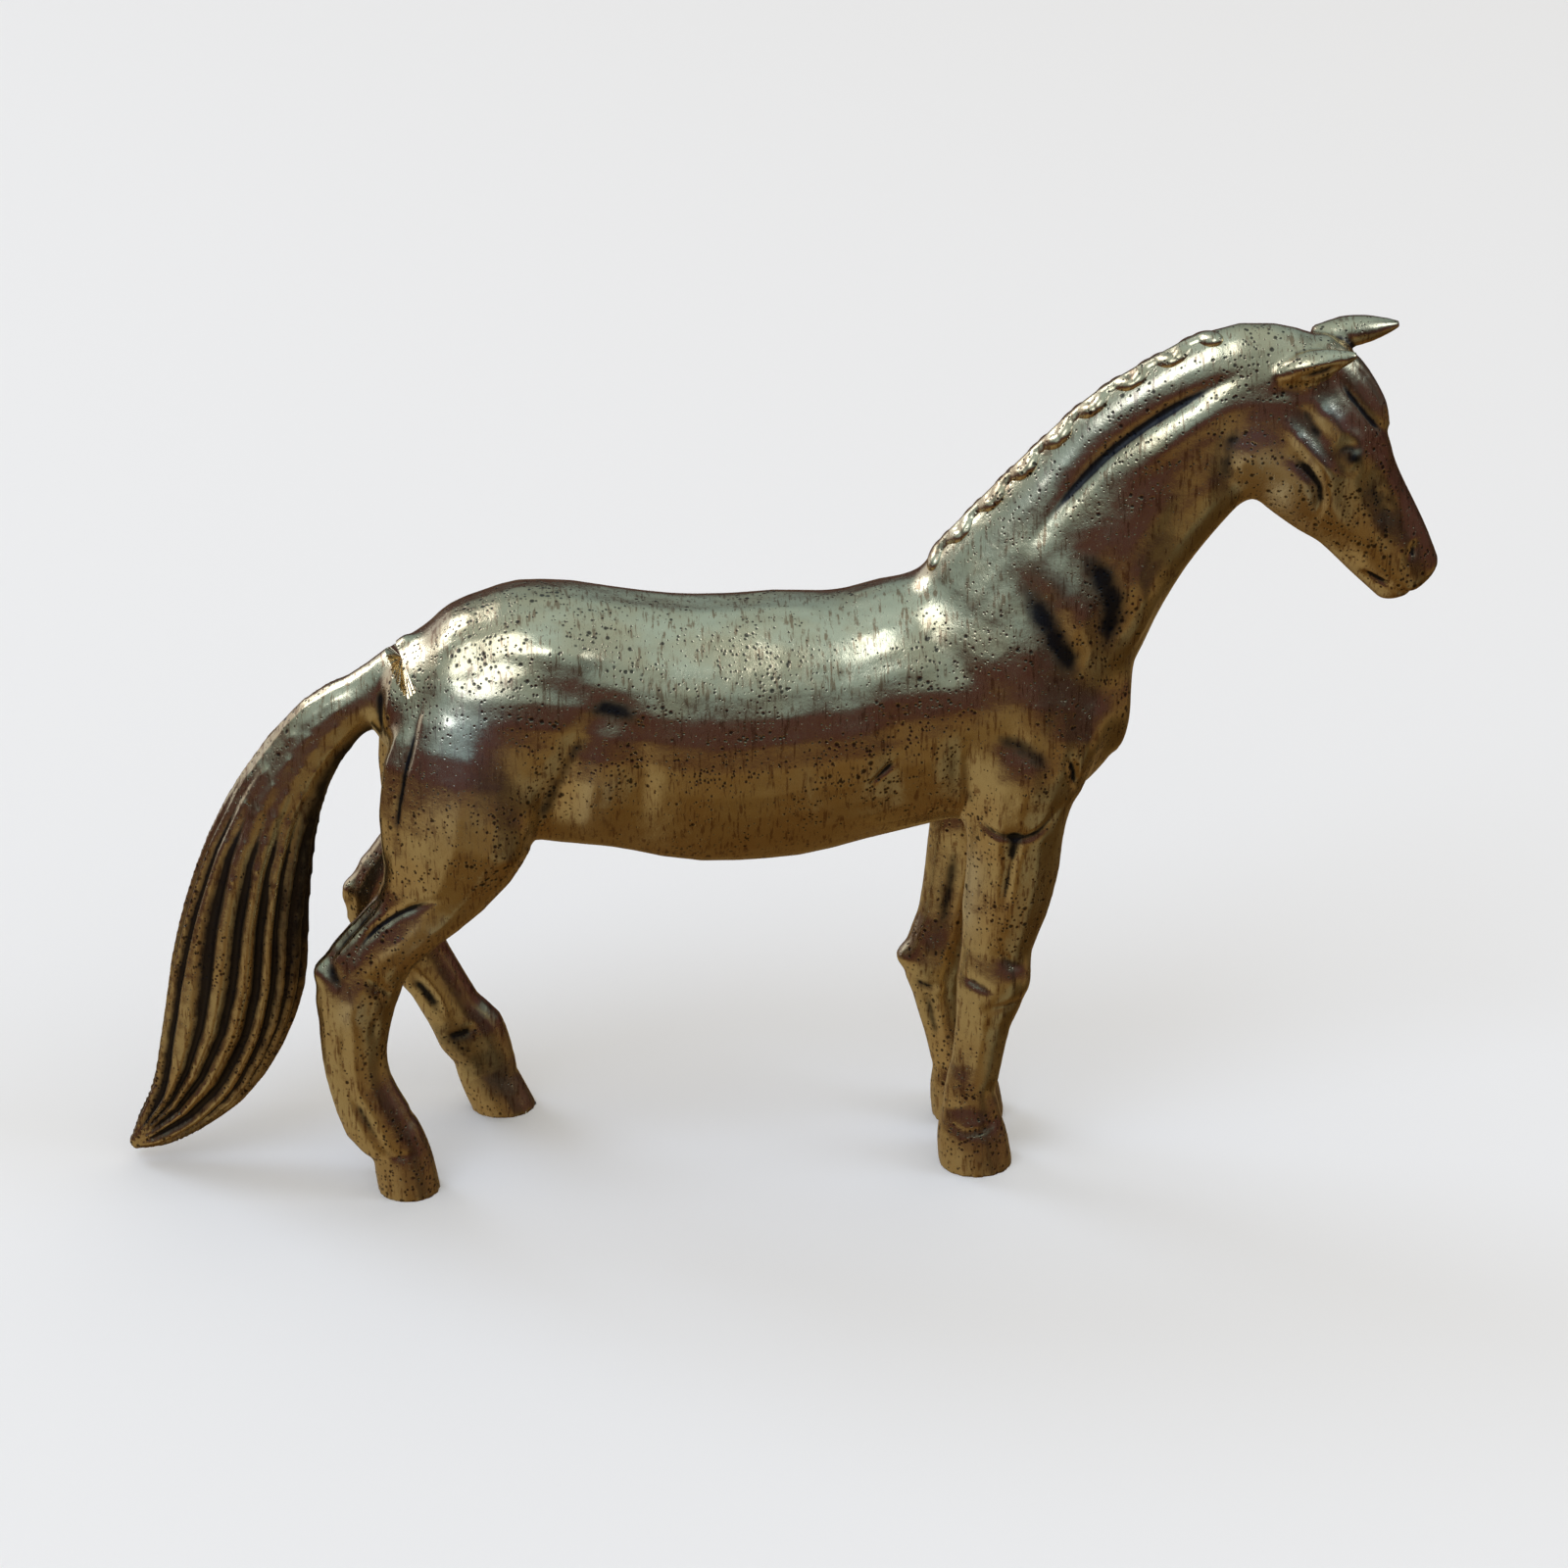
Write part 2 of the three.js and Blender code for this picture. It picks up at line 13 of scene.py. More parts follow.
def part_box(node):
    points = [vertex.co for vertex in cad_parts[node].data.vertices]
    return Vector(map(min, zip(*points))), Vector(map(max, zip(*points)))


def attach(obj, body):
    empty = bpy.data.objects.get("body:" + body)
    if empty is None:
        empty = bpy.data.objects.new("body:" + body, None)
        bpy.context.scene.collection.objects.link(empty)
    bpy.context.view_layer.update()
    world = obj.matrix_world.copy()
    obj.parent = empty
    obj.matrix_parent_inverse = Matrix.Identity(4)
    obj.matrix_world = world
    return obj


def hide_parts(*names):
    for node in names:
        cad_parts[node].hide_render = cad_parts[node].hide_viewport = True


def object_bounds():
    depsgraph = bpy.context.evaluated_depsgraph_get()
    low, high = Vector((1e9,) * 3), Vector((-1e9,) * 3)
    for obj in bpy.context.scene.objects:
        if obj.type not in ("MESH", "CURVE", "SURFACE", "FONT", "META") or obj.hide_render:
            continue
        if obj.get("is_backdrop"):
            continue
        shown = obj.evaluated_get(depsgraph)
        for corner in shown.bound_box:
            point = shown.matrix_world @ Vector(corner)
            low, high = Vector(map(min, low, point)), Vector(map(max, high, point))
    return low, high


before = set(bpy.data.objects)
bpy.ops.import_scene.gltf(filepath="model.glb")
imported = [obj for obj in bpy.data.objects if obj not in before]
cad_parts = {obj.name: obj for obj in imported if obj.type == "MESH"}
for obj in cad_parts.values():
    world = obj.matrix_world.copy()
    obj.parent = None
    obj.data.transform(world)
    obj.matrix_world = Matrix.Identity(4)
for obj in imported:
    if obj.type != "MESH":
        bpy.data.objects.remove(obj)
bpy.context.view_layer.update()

bl_info = {
    "name": "Brass horse",
    "version": (1, 0, 0),
    "blender": (4, 5, 0),
    "location": "3D View > Sidebar > Brass horse",
    "description": "Models a small cast brass horse, section by section, over its solids",
    "category": "Add Mesh",
}

MM = 0.001

# ---------------------------------------------------------------------------
# Where the detail is, in millimetres: lengths along the horse, out to its right, and up.
# ---------------------------------------------------------------------------

# Grooves and ridges that both sides have: name, depth (ridges are below zero), half width, patina
# and painted shade (below zero: rubbed bright and a painted highlight), and the line on the right side.
# Each fades out towards both ends.
BOTH_SIDES = [
    # head
    ("eye socket", 0.1, 0.3, 0.7,
     [(31.3, -3, 44.0), (31.6, -3, 44.7), (32.3, -3, 44.9), (33.1, -3, 44.5)]),
    ("under eye", 0.1, 0.3, 0.6,
     [(31.3, -3, 44.1), (31.6, -3, 43.4), (32.3, -3, 43.1), (33.1, -3, 43.5)]),
    ("eye", 0.36, 0.6, 0.9, [(31.9, -3, 44.1), (32.4, -3, 44.0), (32.9, -3, 43.9)]),
    ("eye shade", 0.0, 1.1, 0.7, [(31.6, -3, 44.3), (32.4, -3, 44.1), (33.2, -3, 43.8)]),
    ("upper lid", -0.1, 0.34, 0,
     [(31.0, -3, 44.9), (31.7, -3, 45.6), (32.7, -3, 45.4), (33.4, -3, 44.7)]),
    # brow, and cheekbone below: their rub paints a highlight on them
    ("brow", -0.26, 0.7, -0.6, [(30.2, -2.6, 47.0), (31.0, -2.6, 46.2), (31.6, -2.6, 45.7)]),
    ("temple", 0.2, 0.6, 0.45, [(29.0, -2.7, 47.4), (29.9, -2.8, 46.2), (30.5, -2.9, 44.9)]),
    ("cheekbone", -0.24, 0.42, -0.6,
     [(28.2, -2.8, 46.5), (29.0, -2.8, 45.5), (30.2, -2.9, 44.1), (31.6, -2.7, 42.6)]),
    ("cheek front", 0.16, 0.7, 0.2, [(31.2, -2.8, 43.6), (32.0, -2.5, 41.5), (33.3, -2.0, 39.2)]),
    ("jowl crescent", 0.26, 0.38, 0.65,
     [(28.4, -2.8, 44.4), (29.4, -2.9, 43.7), (30.3, -2.8, 42.5), (30.5, -2.5, 41.2), (30.2, -2.1, 40.2)]),
    ("jowl edge", 0.42, 0.95, 0.5,
     [(26.2, -3.0, 46.6), (25.4, -3.1, 45.2), (25.2, -3.0, 43.6), (25.8, -2.3, 42.0)]),
    # jowl plate: its rub is a painted highlight that pales the whole plate
    ("jowl plate", -0.24, 1.6, -1,
     [(25.6, -3.0, 45.8), (27.0, -2.9, 44.3), (28.3, -2.6, 42.7), (29.8, -2.1, 40.8)]),
    ("nose side", 0.2, 0.7, 0.15, [(33.0, -2.2, 42.8), (33.9, -2.0, 41.0), (34.8, -1.7, 39.4)]),
    ("nasal bone", -0.16, 0.5, 0, [(33.3, -1.6, 44.0), (34.3, -1.5, 42.2), (35.2, -1.3, 40.4)]),
    ("nostril", 0.16, 0.26, 0.85, [(36.1, -1.3, 38.2), (35.9, -1.4, 37.4)]),
    ("nostril rim", -0.06, 0.34, 0,
     [(36.5, -1.2, 38.9), (35.7, -1.5, 38.5), (35.4, -1.6, 37.6), (35.6, -1.5, 36.9)]),
    ("mouth", 0.3, 0.24, 1, [(33.2, -1.3, 36.5), (34.0, -1.4, 36.1), (34.9, -1.5, 35.7)]),
    ("lips", 0.14, 0.2, 0.5,
     [(34.4, -1.5, 35.9), (35.3, -1.4, 35.5), (36.0, -1.0, 35.3), (36.4, 0, 35.3)]),
    ("chin groove", 0.12, 0.5, 0.3, [(31.8, -1.6, 38.2), (33.0, -1.5, 37.4)]),
    ("face shade", 0.0, 1.7, 0.54, [(32.8, -2.2, 43.2), (34.0, -1.8, 40.8), (35.2, -1.5, 38.6)]),
    # neck
    ("neck valley", 0.06, 0.85, 0.1,
     [(26.2, -2, 49.2), (22.5, -2.1, 47.3), (19.4, -2.2, 45.1),
      (17.2, -2.4, 43.0), (15.3, -2.7, 40.7), (13.6, -3.2, 38.4)]),
    ("neck groove", 0.28, 0.44, 1,
     [(26.2, -2, 49.1), (22.5, -2.1, 47.2), (19.4, -2.2, 45.1),
      (17.4, -2.4, 43.3), (15.6, -2.7, 41.2), (14.4, -3.1, 39.4)]),
    ("neck roll", -0.2, 0.7, 0,
     [(25.8, -2.6, 47.9), (23.2, -2.8, 46.2), (20.8, -2.9, 44.4), (19.0, -3.1, 42.8)]),
    ("crest roll", -0.14, 0.8, -0.2,
     [(24.6, -1.3, 50.0), (21.5, -1.3, 48.2), (18.6, -1.4, 46.2),
      (16.2, -1.5, 43.6), (13.6, -1.8, 40.6), (11.6, -2.0, 38.2)]),
    ("windpipe", 0.22, 1.1, 0.1,
     [(24.0, -2.9, 45.0), (23.2, -3.2, 42.8), (22.2, -3.3, 40.4), (20.8, -3.4, 38.0)]),
    ("neck base", 0.34, 1.25, 0.9,
     [(16.6, -3.9, 39.8), (18.0, -4.2, 38.2), (18.9, -4.4, 36.2), (18.7, -4.5, 34.2), (18.2, -4.5, 32.8)]),
    ("neck base shade", 0.0, 1.5, 0.5,
     [(13.4, -3.6, 39.2), (15.0, -3.9, 38.0), (16.4, -4.1, 36.8), (17.0, -4.3, 35.4)]),
    ("neck base front", -0.26, 1.0, 0, [(20.2, -3.0, 37.6), (20.4, -3.4, 35.4), (20.0, -3.4, 33.4)]),
    # shoulder and chest
    ("shoulder blade", 0.3, 1.15, 0.9,
     [(13.4, -3.6, 38.2), (14.4, -4.4, 36.6), (15.6, -5.0, 34.6), (16.6, -5.0, 32.8), (17.4, -4.8, 31.0)]),
    ("shoulder ridge", -0.08, 0.8, 0, [(15.6, -4.2, 38.0), (17.0, -4.7, 35.8), (17.6, -4.9, 33.6)]),
    ("withers dip", 0.2, 1.0, 0.4, [(8.0, -3.2, 35.2), (9.4, -4.4, 33.8), (10.9, -5.2, 32.0)]),
    ("shoulder swell", -0.34, 1.7, 0, [(11.9, -4.9, 34.4), (13.3, -5.4, 32.0), (14.4, -5.7, 29.8)]),
    ("shoulder point", -0.4, 1.3, 0, [(18.4, -3.8, 30.2), (17.8, -4.4, 28.6), (17.0, -4.8, 27.2)]),
    ("breast line", 0.3, 0.8, 0.3, [(19.5, -1.4, 31.8), (19.9, -1.3, 28.6), (19.0, -1.3, 25.2)]),
    ("elbow hollow", 0.13, 0.8, 0.75,
     [(11.6, -5.6, 28.6), (13.2, -5.8, 28.6), (14.7, -5.9, 27.7), (15.8, -5.7, 26.2)]),
    ("elbow knob", -0.2, 1.2, 0, [(13.0, -5.9, 26.2), (13.9, -6.0, 25.6), (14.6, -5.9, 24.9)]),
    ("elbow back", 0.28, 0.9, 0.3,
     [(10.5, -5.7, 29.4), (10.6, -5.6, 26.8), (10.9, -5.2, 24.0), (11.2, -5.0, 22.4)]),
    ("elbow line", 0.22, 0.3, 0.75,
     [(10.8, -5.0, 23.7), (12.2, -5.2, 22.8), (13.8, -5.4, 22.4), (15.2, -5.4, 22.9), (16.4, -5.2, 24.6)]),
    ("elbow slit", 0.22, 0.26, 0.8, [(16.4, -5.5, 27.6), (16.8, -5.2, 26.4), (17.0, -5.0, 25.2)]),
    # barrel
    ("ribs", 0.1, 1.0, 0, [(3.8, -5.6, 32.4), (2.6, -6.1, 28.4), (3.0, -5.2, 23.6)]),
    ("girth dip", 0.25, 1.3, 0.1, [(6.6, -5.6, 31.0), (7.0, -5.8, 27.4), (7.6, -5.0, 23.4)]),
    ("spine dip", 0.14, 0.8, 0, [(-13.0, 0, 36.6), (-4.0, 0, 35.4), (5.0, 0, 35.4)]),
    ("loin side", 0.14, 1.2, 0, [(-10.0, -3.6, 34.8), (-4.0, -4.0, 34.0), (2.5, -4.0, 34.0)]),
    # flank and haunch
    ("flank apex", 0.05, 0.8, 0.9,
     [(-10.6, -5.6, 30.6), (-9.3, -5.6, 31.2), (-8.0, -5.8, 30.8), (-7.2, -5.8, 30.2)]),
    ("flank front", 0.2, 0.9, 0.3,
     [(-8.7, -5.6, 31.6), (-7.8, -6.1, 29.4), (-7.4, -6.1, 27.0), (-7.7, -5.2, 24.0)]),
    ("flank back", 0.38, 0.95, 0.4,
     [(-9.0, -5.7, 31.4), (-10.8, -6.1, 29.2), (-12.0, -6.0, 26.8),
      (-12.9, -5.5, 24.2), (-13.4, -4.7, 21.6)]),
    ("flank fold", -0.22, 0.9, -0.5,
     [(-9.7, -6.0, 28.2), (-9.9, -6.1, 26.6), (-10.2, -5.7, 24.8), (-10.2, -5.2, 22.6)]),
    # haunch swell: its rub paints the highlight on the haunch
    ("haunch swell", -0.4, 2.4, -0.5, [(-16.2, -5.2, 31.4), (-17.2, -6.0, 27.8), (-17.6, -6.3, 24.0)]),
    ("hip point", -0.34, 1.2, 0, [(-10.2, -5.0, 33.8), (-11.6, -4.9, 34.3), (-13.0, -4.6, 34.7)]),
    ("croup hollow", 0.22, 1.3, 0.2, [(-13.2, -5.2, 32.8), (-15.8, -4.6, 33.6), (-18.8, -3.7, 33.2)]),
    ("stifle", -0.3, 1.4, 0, [(-14.2, -6.2, 24.4), (-14.9, -6.3, 23.0), (-15.8, -6.3, 21.8)]),
    ("ham valley", 0.24, 0.9, 0.15,
     [(-19.8, -4.2, 32.4), (-20.2, -5.2, 29.6), (-20.7, -5.8, 26.6),
      (-20.9, -5.8, 23.4), (-20.4, -5.8, 21.0)]),
    ("hamstring", 0.24, 0.3, 0.9,
     [(-20.0, -4.6, 31.4), (-20.4, -5.4, 29.2), (-20.9, -5.8, 27.0),
      (-21.2, -5.8, 24.8), (-21.2, -5.8, 22.2)]),
    ("dock side", 0.2, 0.5, 0.9,
     [(-22.6, -2.2, 31.6), (-22.4, -2.2, 30.4), (-22.0, -2.2, 29.2), (-21.6, -2.0, 28.0)]),
]

# Marks on one side only.
ONE_SIDE = [
    ("casting slit", 0.2, 0.15, 1, [(5.3, -5.9, 26.1), (6.2, -5.9, 27.0), (6.9, -5.9, 27.7)]),
    # right foreleg
    ("forearm wedge", 0.24, 0.42, 1, [(13.7, -5.6, 23.0), (13.6, -5.5, 22.0), (13.4, -5.1, 20.6)]),
    ("forearm slit", 0.16, 0.22, 0.8, [(13.6, -5.3, 21.4), (13.3, -5.0, 19.6), (13.1, -4.7, 17.4)]),
    ("forearm back", 0.16, 0.5, 0.3, [(12.0, -4.9, 22.0), (11.6, -4.6, 18.8), (11.2, -4.4, 15.4)]),
    ("forearm edge", -0.16, 0.7, -0.8, [(10.9, -4.6, 21.4), (10.5, -4.2, 18.4), (10.3, -4.2, 15.0)]),
    ("knee side", 0.14, 0.26, 0.8, [(10.9, -3.8, 12.9), (11.8, -4.4, 12.5), (12.8, -4.6, 12.0)]),
    ("knee top", 0.12, 0.32, 0.6, [(12.9, -4.5, 14.6), (13.6, -4.3, 13.9), (14.3, -3.4, 13.5)]),
    ("knee base", 0.12, 0.32, 0.5, [(12.2, -4.4, 10.9), (13.2, -4.3, 11.0), (14.2, -3.4, 11.4)]),
    ("knee cap", -0.2, 0.8, 0, [(13.2, -4.2, 12.9), (13.8, -3.4, 12.4), (14.0, -2.6, 12.2)]),
    ("cannon groove", 0.13, 0.4, 0.25, [(11.7, -4.1, 10.6), (11.3, -3.9, 7.8), (11.2, -3.9, 5.4)]),
    ("pastern dip", 0.14, 0.5, 0.35, [(12.6, -4.0, 5.4), (13.2, -3.4, 4.8), (13.4, -2.6, 4.6)]),
    ("coronet", 0.08, 0.26, 0.8,
     [(10.2, -4.1, 3.3), (11.2, -4.6, 2.8), (12.4, -4.5, 3.0), (13.4, -3.8, 3.4)]),
    # left foreleg
    ("far knee back", -0.4, 0.7, 0, [(7.9, 2.2, 11.0), (7.8, 2.9, 10.8), (7.9, 3.6, 10.8)]),
    ("far knee line", 0.2, 0.3, 0.8, [(8.1, 1.8, 9.5), (9.0, 1.2, 9.2), (10.2, 1.2, 9.2)]),
    ("far forearm", 0.2, 0.5, 0.8, [(10.8, 1.4, 19.4), (10.4, 1.2, 15.6), (9.7, 1.2, 11.8)]),
    ("far cannon", 0.18, 0.4, 0.8, [(9.2, 1.6, 9.0), (9.4, 1.5, 7.0), (9.8, 1.6, 5.0)]),
    ("far forearm out", 0.2, 0.45, 0.6, [(12.8, 4.7, 21.0), (11.6, 4.6, 16.6), (10.7, 4.5, 13.2)]),
    ("far knee out", 0.16, 0.28, 0.8, [(8.9, 4.4, 12.1), (10.0, 4.7, 11.8), (11.2, 4.3, 11.8)]),
    ("far coronet", 0.08, 0.26, 0.8,
     [(10.2, 4.1, 3.3), (11.2, 4.6, 2.8), (12.4, 4.5, 3.0), (13.4, 3.8, 3.4)]),
    ("far foreleg shade", 0.0, 1.7, 0.42,
     [(11.2, 1.2, 20.0), (10.2, 1.2, 15.0), (9.3, 1.6, 9.5), (9.8, 1.6, 4.5)]),
    # right hind leg
    ("gaskin line", 0.22, 0.24, 0.95,
     [(-18.6, -6.4, 20.0), (-20.0, -6.3, 19.5), (-21.8, -5.9, 18.5),
      (-23.1, -5.6, 17.2), (-24.0, -5.8, 15.4)]),
    ("gaskin back", 0.2, 0.28, 0.9,
     [(-22.2, -4.9, 19.6), (-23.6, -4.9, 18.0), (-24.8, -4.9, 16.4), (-25.8, -4.9, 15.0)]),
    ("gaskin swell", -0.24, 1.0, -0.6, [(-18.8, -6.1, 18.6), (-20.6, -6.0, 17.2), (-22.2, -6.0, 15.8)]),
    ("hock hollow", 0.16, 0.55, 0.95, [(-25.8, -5.2, 15.6), (-25.2, -5.6, 14.8), (-24.6, -5.8, 13.8)]),
    ("hock point", -0.26, 0.7, 0, [(-26.7, -4.2, 15.6), (-26.6, -4.4, 14.9), (-26.3, -4.4, 14.1)]),
    ("hock front", 0.18, 0.4, 0.4, [(-23.2, -5.9, 14.9), (-22.4, -5.5, 13.8), (-21.9, -4.8, 13.0)]),
    ("hock bone", -0.18, 0.7, -0.5, [(-24.0, -5.9, 13.6), (-24.2, -5.9, 12.6), (-24.3, -5.9, 11.6)]),
    ("cannon mark", 0.1, 0.3, 0.7, [(-22.9, -5.6, 12.2), (-22.9, -5.6, 11.2), (-23.0, -5.6, 10.2)]),
    ("hind cannon", 0.13, 0.4, 0.3, [(-24.6, -5.9, 11.8), (-24.8, -5.9, 9.2), (-24.6, -5.8, 6.6)]),
    ("hind fetlock", 0.18, 0.36, 0.7,
     [(-24.4, -5.4, 7.2), (-23.8, -5.7, 5.8), (-23.0, -5.8, 4.2), (-22.4, -5.8, 3.2)]),
    ("hind coronet", 0.08, 0.26, 0.6, [(-23.2, -5.2, 3.5), (-22.0, -6.0, 3.0), (-20.6, -5.9, 3.1)]),
    # left hind leg
    ("far hock hollow", 0.28, 0.5, 0.95, [(-24.4, 5.8, 15.0), (-23.9, 5.9, 14.2), (-23.3, 6.0, 13.2)]),
    ("far gaskin line", 0.22, 0.26, 0.95,
     [(-17.2, 6.4, 20.2), (-19.4, 6.2, 18.2), (-21.4, 6.0, 16.4), (-22.8, 6.0, 14.8)]),
    ("far hock point", -0.4, 0.7, 0, [(-25.0, 4.2, 15.8), (-24.9, 4.4, 15.2), (-24.7, 4.4, 14.4)]),
    ("far cannon in", 0.24, 0.55, 0.95, [(-21.2, 2.7, 9.8), (-20.3, 2.8, 8.4), (-19.4, 2.9, 7.0)]),
    ("far fetlock in", 0.2, 0.32, 0.95, [(-19.4, 3.3, 5.4), (-18.2, 3.2, 5.8), (-17.2, 3.4, 6.4)]),
    ("far hind coronet", 0.08, 0.26, 0.7, [(-17.6, 6.3, 3.5), (-16.6, 7.0, 3.0), (-15.2, 6.9, 3.1)]),
    ("far hind foot shade", 0.0, 2.6, 0.6,
     [(-20.4, 3.3, 8.0), (-17.6, 3.3, 4.4), (-15.6, 3.6, 2.4), (-14.2, 4.0, 0.2)]),
    # ears and forelock
    ("right ear bowl", 0.3, 0.36, 0.9, [(28.8, -3, 48.7), (30.2, -3, 49.1), (31.6, -3, 49.5)]),
    ("left ear bowl", 0.3, 0.36, 0.9, [(31.4, 3, 49.9), (33.0, 3, 50.1), (34.4, 3, 50.4)]),
    ("right ear root", 0.08, 0.4, 0.5, [(27.4, -2.3, 47.9), (28.4, -2.9, 48.0), (29.8, -3.0, 47.9)]),
    ("left ear root", 0.18, 0.4, 0.7, [(29.4, 2.3, 48.6), (30.6, 2.6, 48.4), (31.8, 2.5, 48.2)]),
    ("forelock strand", 0.14, 0.22, 0.8, [(32.0, -0.9, 49.2), (33.5, -0.8, 47.4), (34.4, -0.5, 45.4)]),
    ("forelock strand left", 0.14, 0.22, 0.8,
     [(32.2, 0.5, 49.2), (33.7, 0.4, 47.6), (34.6, 0.2, 45.6)]),
    ("forelock", 0.0, 1.5, 0.5, [(30.8, 0, 50.0), (32.6, 0, 48.6), (34.0, 0, 46.8), (34.8, 0, 44.6)]),
    ("forelock edge", 0.2, 0.3, 0.9,
     [(31.0, -1.6, 48.8), (32.4, -1.6, 46.9), (33.6, -1.0, 45.2), (34.5, 0, 44.5)]),
    ("forelock edge left", 0.2, 0.3, 0.9,
     [(31.2, 1.6, 48.8), (32.5, 1.6, 47.0), (33.7, 1.0, 45.3), (34.5, 0, 44.5)]),
]

# The tail's middle line from the dock to the tip, in millimetres.
TAIL_LINE = [
    (-21.8, 30.4), (-24.6, 28.4), (-26.5, 26.3), (-28.2, 23.1), (-29.3, 20.0), (-30.2, 16.1),
    (-30.8, 12.4), (-31.6, 9.3), (-33.0, 6.0), (-34.5, 3.7), (-36.4, 1.9), (-37.6, 1.1),
]
TAIL_STEPS = 12  # from each of these points to the next
TAIL_FLUTES = 16

# Each seated section, the section it is seated on, and which way it leaves that one.
SEATS = {
    "neck": ("trunk", (0.4, 0, 0.9)),
    "head": ("neck", (0.9, 0, -0.3)),
    "tail": ("trunk", (-0.8, 0, -0.6)),
    "right_foreleg": ("trunk", (0, 0, -1)),
    "left_foreleg": ("trunk", (0, 0, -1)),
    "right_hind_leg": ("trunk", (0, 0, -1)),
    "left_hind_leg": ("trunk", (0, 0, -1)),
    "right_fore_hoof": ("right_foreleg", (0, 0, -1)),
    "left_fore_hoof": ("left_foreleg", (0, 0, -1)),
    "right_hind_hoof": ("right_hind_leg", (0, 0, -1)),
    "left_hind_hoof": ("left_hind_leg", (0, 0, -1)),
}

# Half the width of each joint's cut, and a little over.
JOINT_REACH = {"neck": 9.5, "head": 7.5, "tail": 3.6, "leg": 4.2, "hoof": 3.2}
BLURRED_SEAM = 0.8  # within this of a joint's plane, the plane decides which section a face is in

# The sections that the one skin covers. The plaited mane is set on it afterwards.
SKIN_NODES = [
    "trunk", "neck", "head", "right_ear", "left_ear", "forelock", "tail",
    "right_foreleg", "left_foreleg", "right_hind_leg", "left_hind_leg",
    "right_fore_hoof", "left_fore_hoof", "right_hind_hoof", "left_hind_hoof",
]


def settings():
    return bpy.context.scene.brass_horse


# ---------------------------------------------------------------------------
# Mesh helpers
# ---------------------------------------------------------------------------


def merged_copy(node):
    """The node's mesh with its corners welded, as a bmesh."""
    bm = bmesh.new()
    bm.from_mesh(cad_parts[node].data)
    bmesh.ops.remove_doubles(bm, verts=bm.verts, dist=0.002 * MM)
    bmesh.ops.recalc_face_normals(bm, faces=bm.faces)
    return bm


def new_object(name, mesh):
    obj = bpy.data.objects.new(name, mesh)
    bpy.context.scene.collection.objects.link(obj)
    return obj


def baked(obj):
    """Applies every modifier of the object and returns it."""
    depsgraph = bpy.context.evaluated_depsgraph_get()
    mesh = bpy.data.meshes.new_from_object(obj.evaluated_get(depsgraph))
    obj.modifiers.clear()
    old = obj.data
    obj.data = mesh
    bpy.data.meshes.remove(old)
    return obj


def coords(mesh):
    co = np.empty(len(mesh.vertices) * 3)
    mesh.vertices.foreach_get("co", co)
    return co.reshape(-1, 3)


def edges(mesh):
    pairs = np.empty(len(mesh.edges) * 2, int)
    mesh.edges.foreach_get("vertices", pairs)
    return pairs.reshape(-1, 2)


def normals(mesh):
    out = np.empty(len(mesh.vertices) * 3)
    mesh.vertex_normals.foreach_get("vector", out)
    return out.reshape(-1, 3)


def write_coords(mesh, co):
    mesh.vertices.foreach_set("co", co.ravel())
    mesh.update()


class Neighbours:
    """Averages over each vertex's neighbours."""

    def __init__(self, count, pairs):
        self.count = count
        self.a = np.concatenate([pairs[:, 0], pairs[:, 1]])
        self.b = np.concatenate([pairs[:, 1], pairs[:, 0]])
        self.share = 1 / np.maximum(np.bincount(self.a, minlength=count), 1)

    def mean(self, values):
        if values.ndim == 1:
            return np.bincount(self.a, values[self.b], self.count) * self.share
        return np.stack([self.mean(column) for column in values.T], 1)


def soften(co, near, rounds, amount=0.55, keep=0.57):
    """Smooths without shrinking: each pull inwards is followed by a slightly larger push out."""
    for _ in range(rounds):
        co = co + amount[:, None] * (near.mean(co) - co)
        co = co - (amount * keep / 0.55)[:, None] * (near.mean(co) - co)
    return co


def fill_hollows(co, near, mesh, rounds, amount):
    """Fills the corners where two forms meet, as wax is smoothed into them."""
    for _ in range(rounds):
        write_coords(mesh, co)
        pull = near.mean(co) - co
        rise = np.einsum("ij,ij->i", pull, normals(mesh))
        co = co + (amount * np.maximum(rise, 0))[:, None] * normals(mesh)
    return co


# ---------------------------------------------------------------------------
# The skin: one surface over all the cast sections, modelled, then parted where they are seated
# ---------------------------------------------------------------------------

SWELL_SHARE = 0.75  # of the braze gap, so that both sides of a joint meet and pass a little
SEARCH = 2 * MM  # how far from a section its skin can be

# Rounds of softening, and how strong each is: on the body, and on the crisp ears and hooves.
FIRST_SOFTENING, SECOND_SOFTENING, LAST_SOFTENING = 26, 8, 2
SOFT_BODY, SOFT_CRISP, SOFT_LAST = 0.55, 0.25, 0.35
FILLING_ROUNDS, FILLING = 60, 1.6
NORMAL_ROUNDS = 12  # a groove is cut square to the skin as averaged this often
PATINA_AND_SHADE_ROUNDS = 3
HOLLOW_ROUNDS = 14  # a hollow is measured from the skin as averaged this often
SOLE_SNAP = 0.1 * MM  # lower than this is the ground


def joint_plane(node, leaves):
    """A point in the middle of the joint, and the way out of the seat: square to the largest
    flat face that the node turns to its seat."""
    bm = merged_copy(node)
    leaves = Vector(leaves).normalized()
    groups = {}
    for face in bm.faces:
        if face.normal.dot(leaves) > -0.75:
            continue
        height = face.normal.dot(face.verts[0].co)
        flat = tuple(round(v, 2) for v in face.normal) + (round(height / (0.02 * MM)),)
        area, at, normal = groups.get(flat, (0, Vector(), face.normal.copy()))
        share = face.calc_area()
        groups[flat] = (area + share, at + face.calc_center_median() * share, normal)
    bm.free()
    area, at, normal = max(groups.values(), key=lambda group: group[0])
    normal = -normal
    return at / area - normal * settings().braze_gap / 2, normal


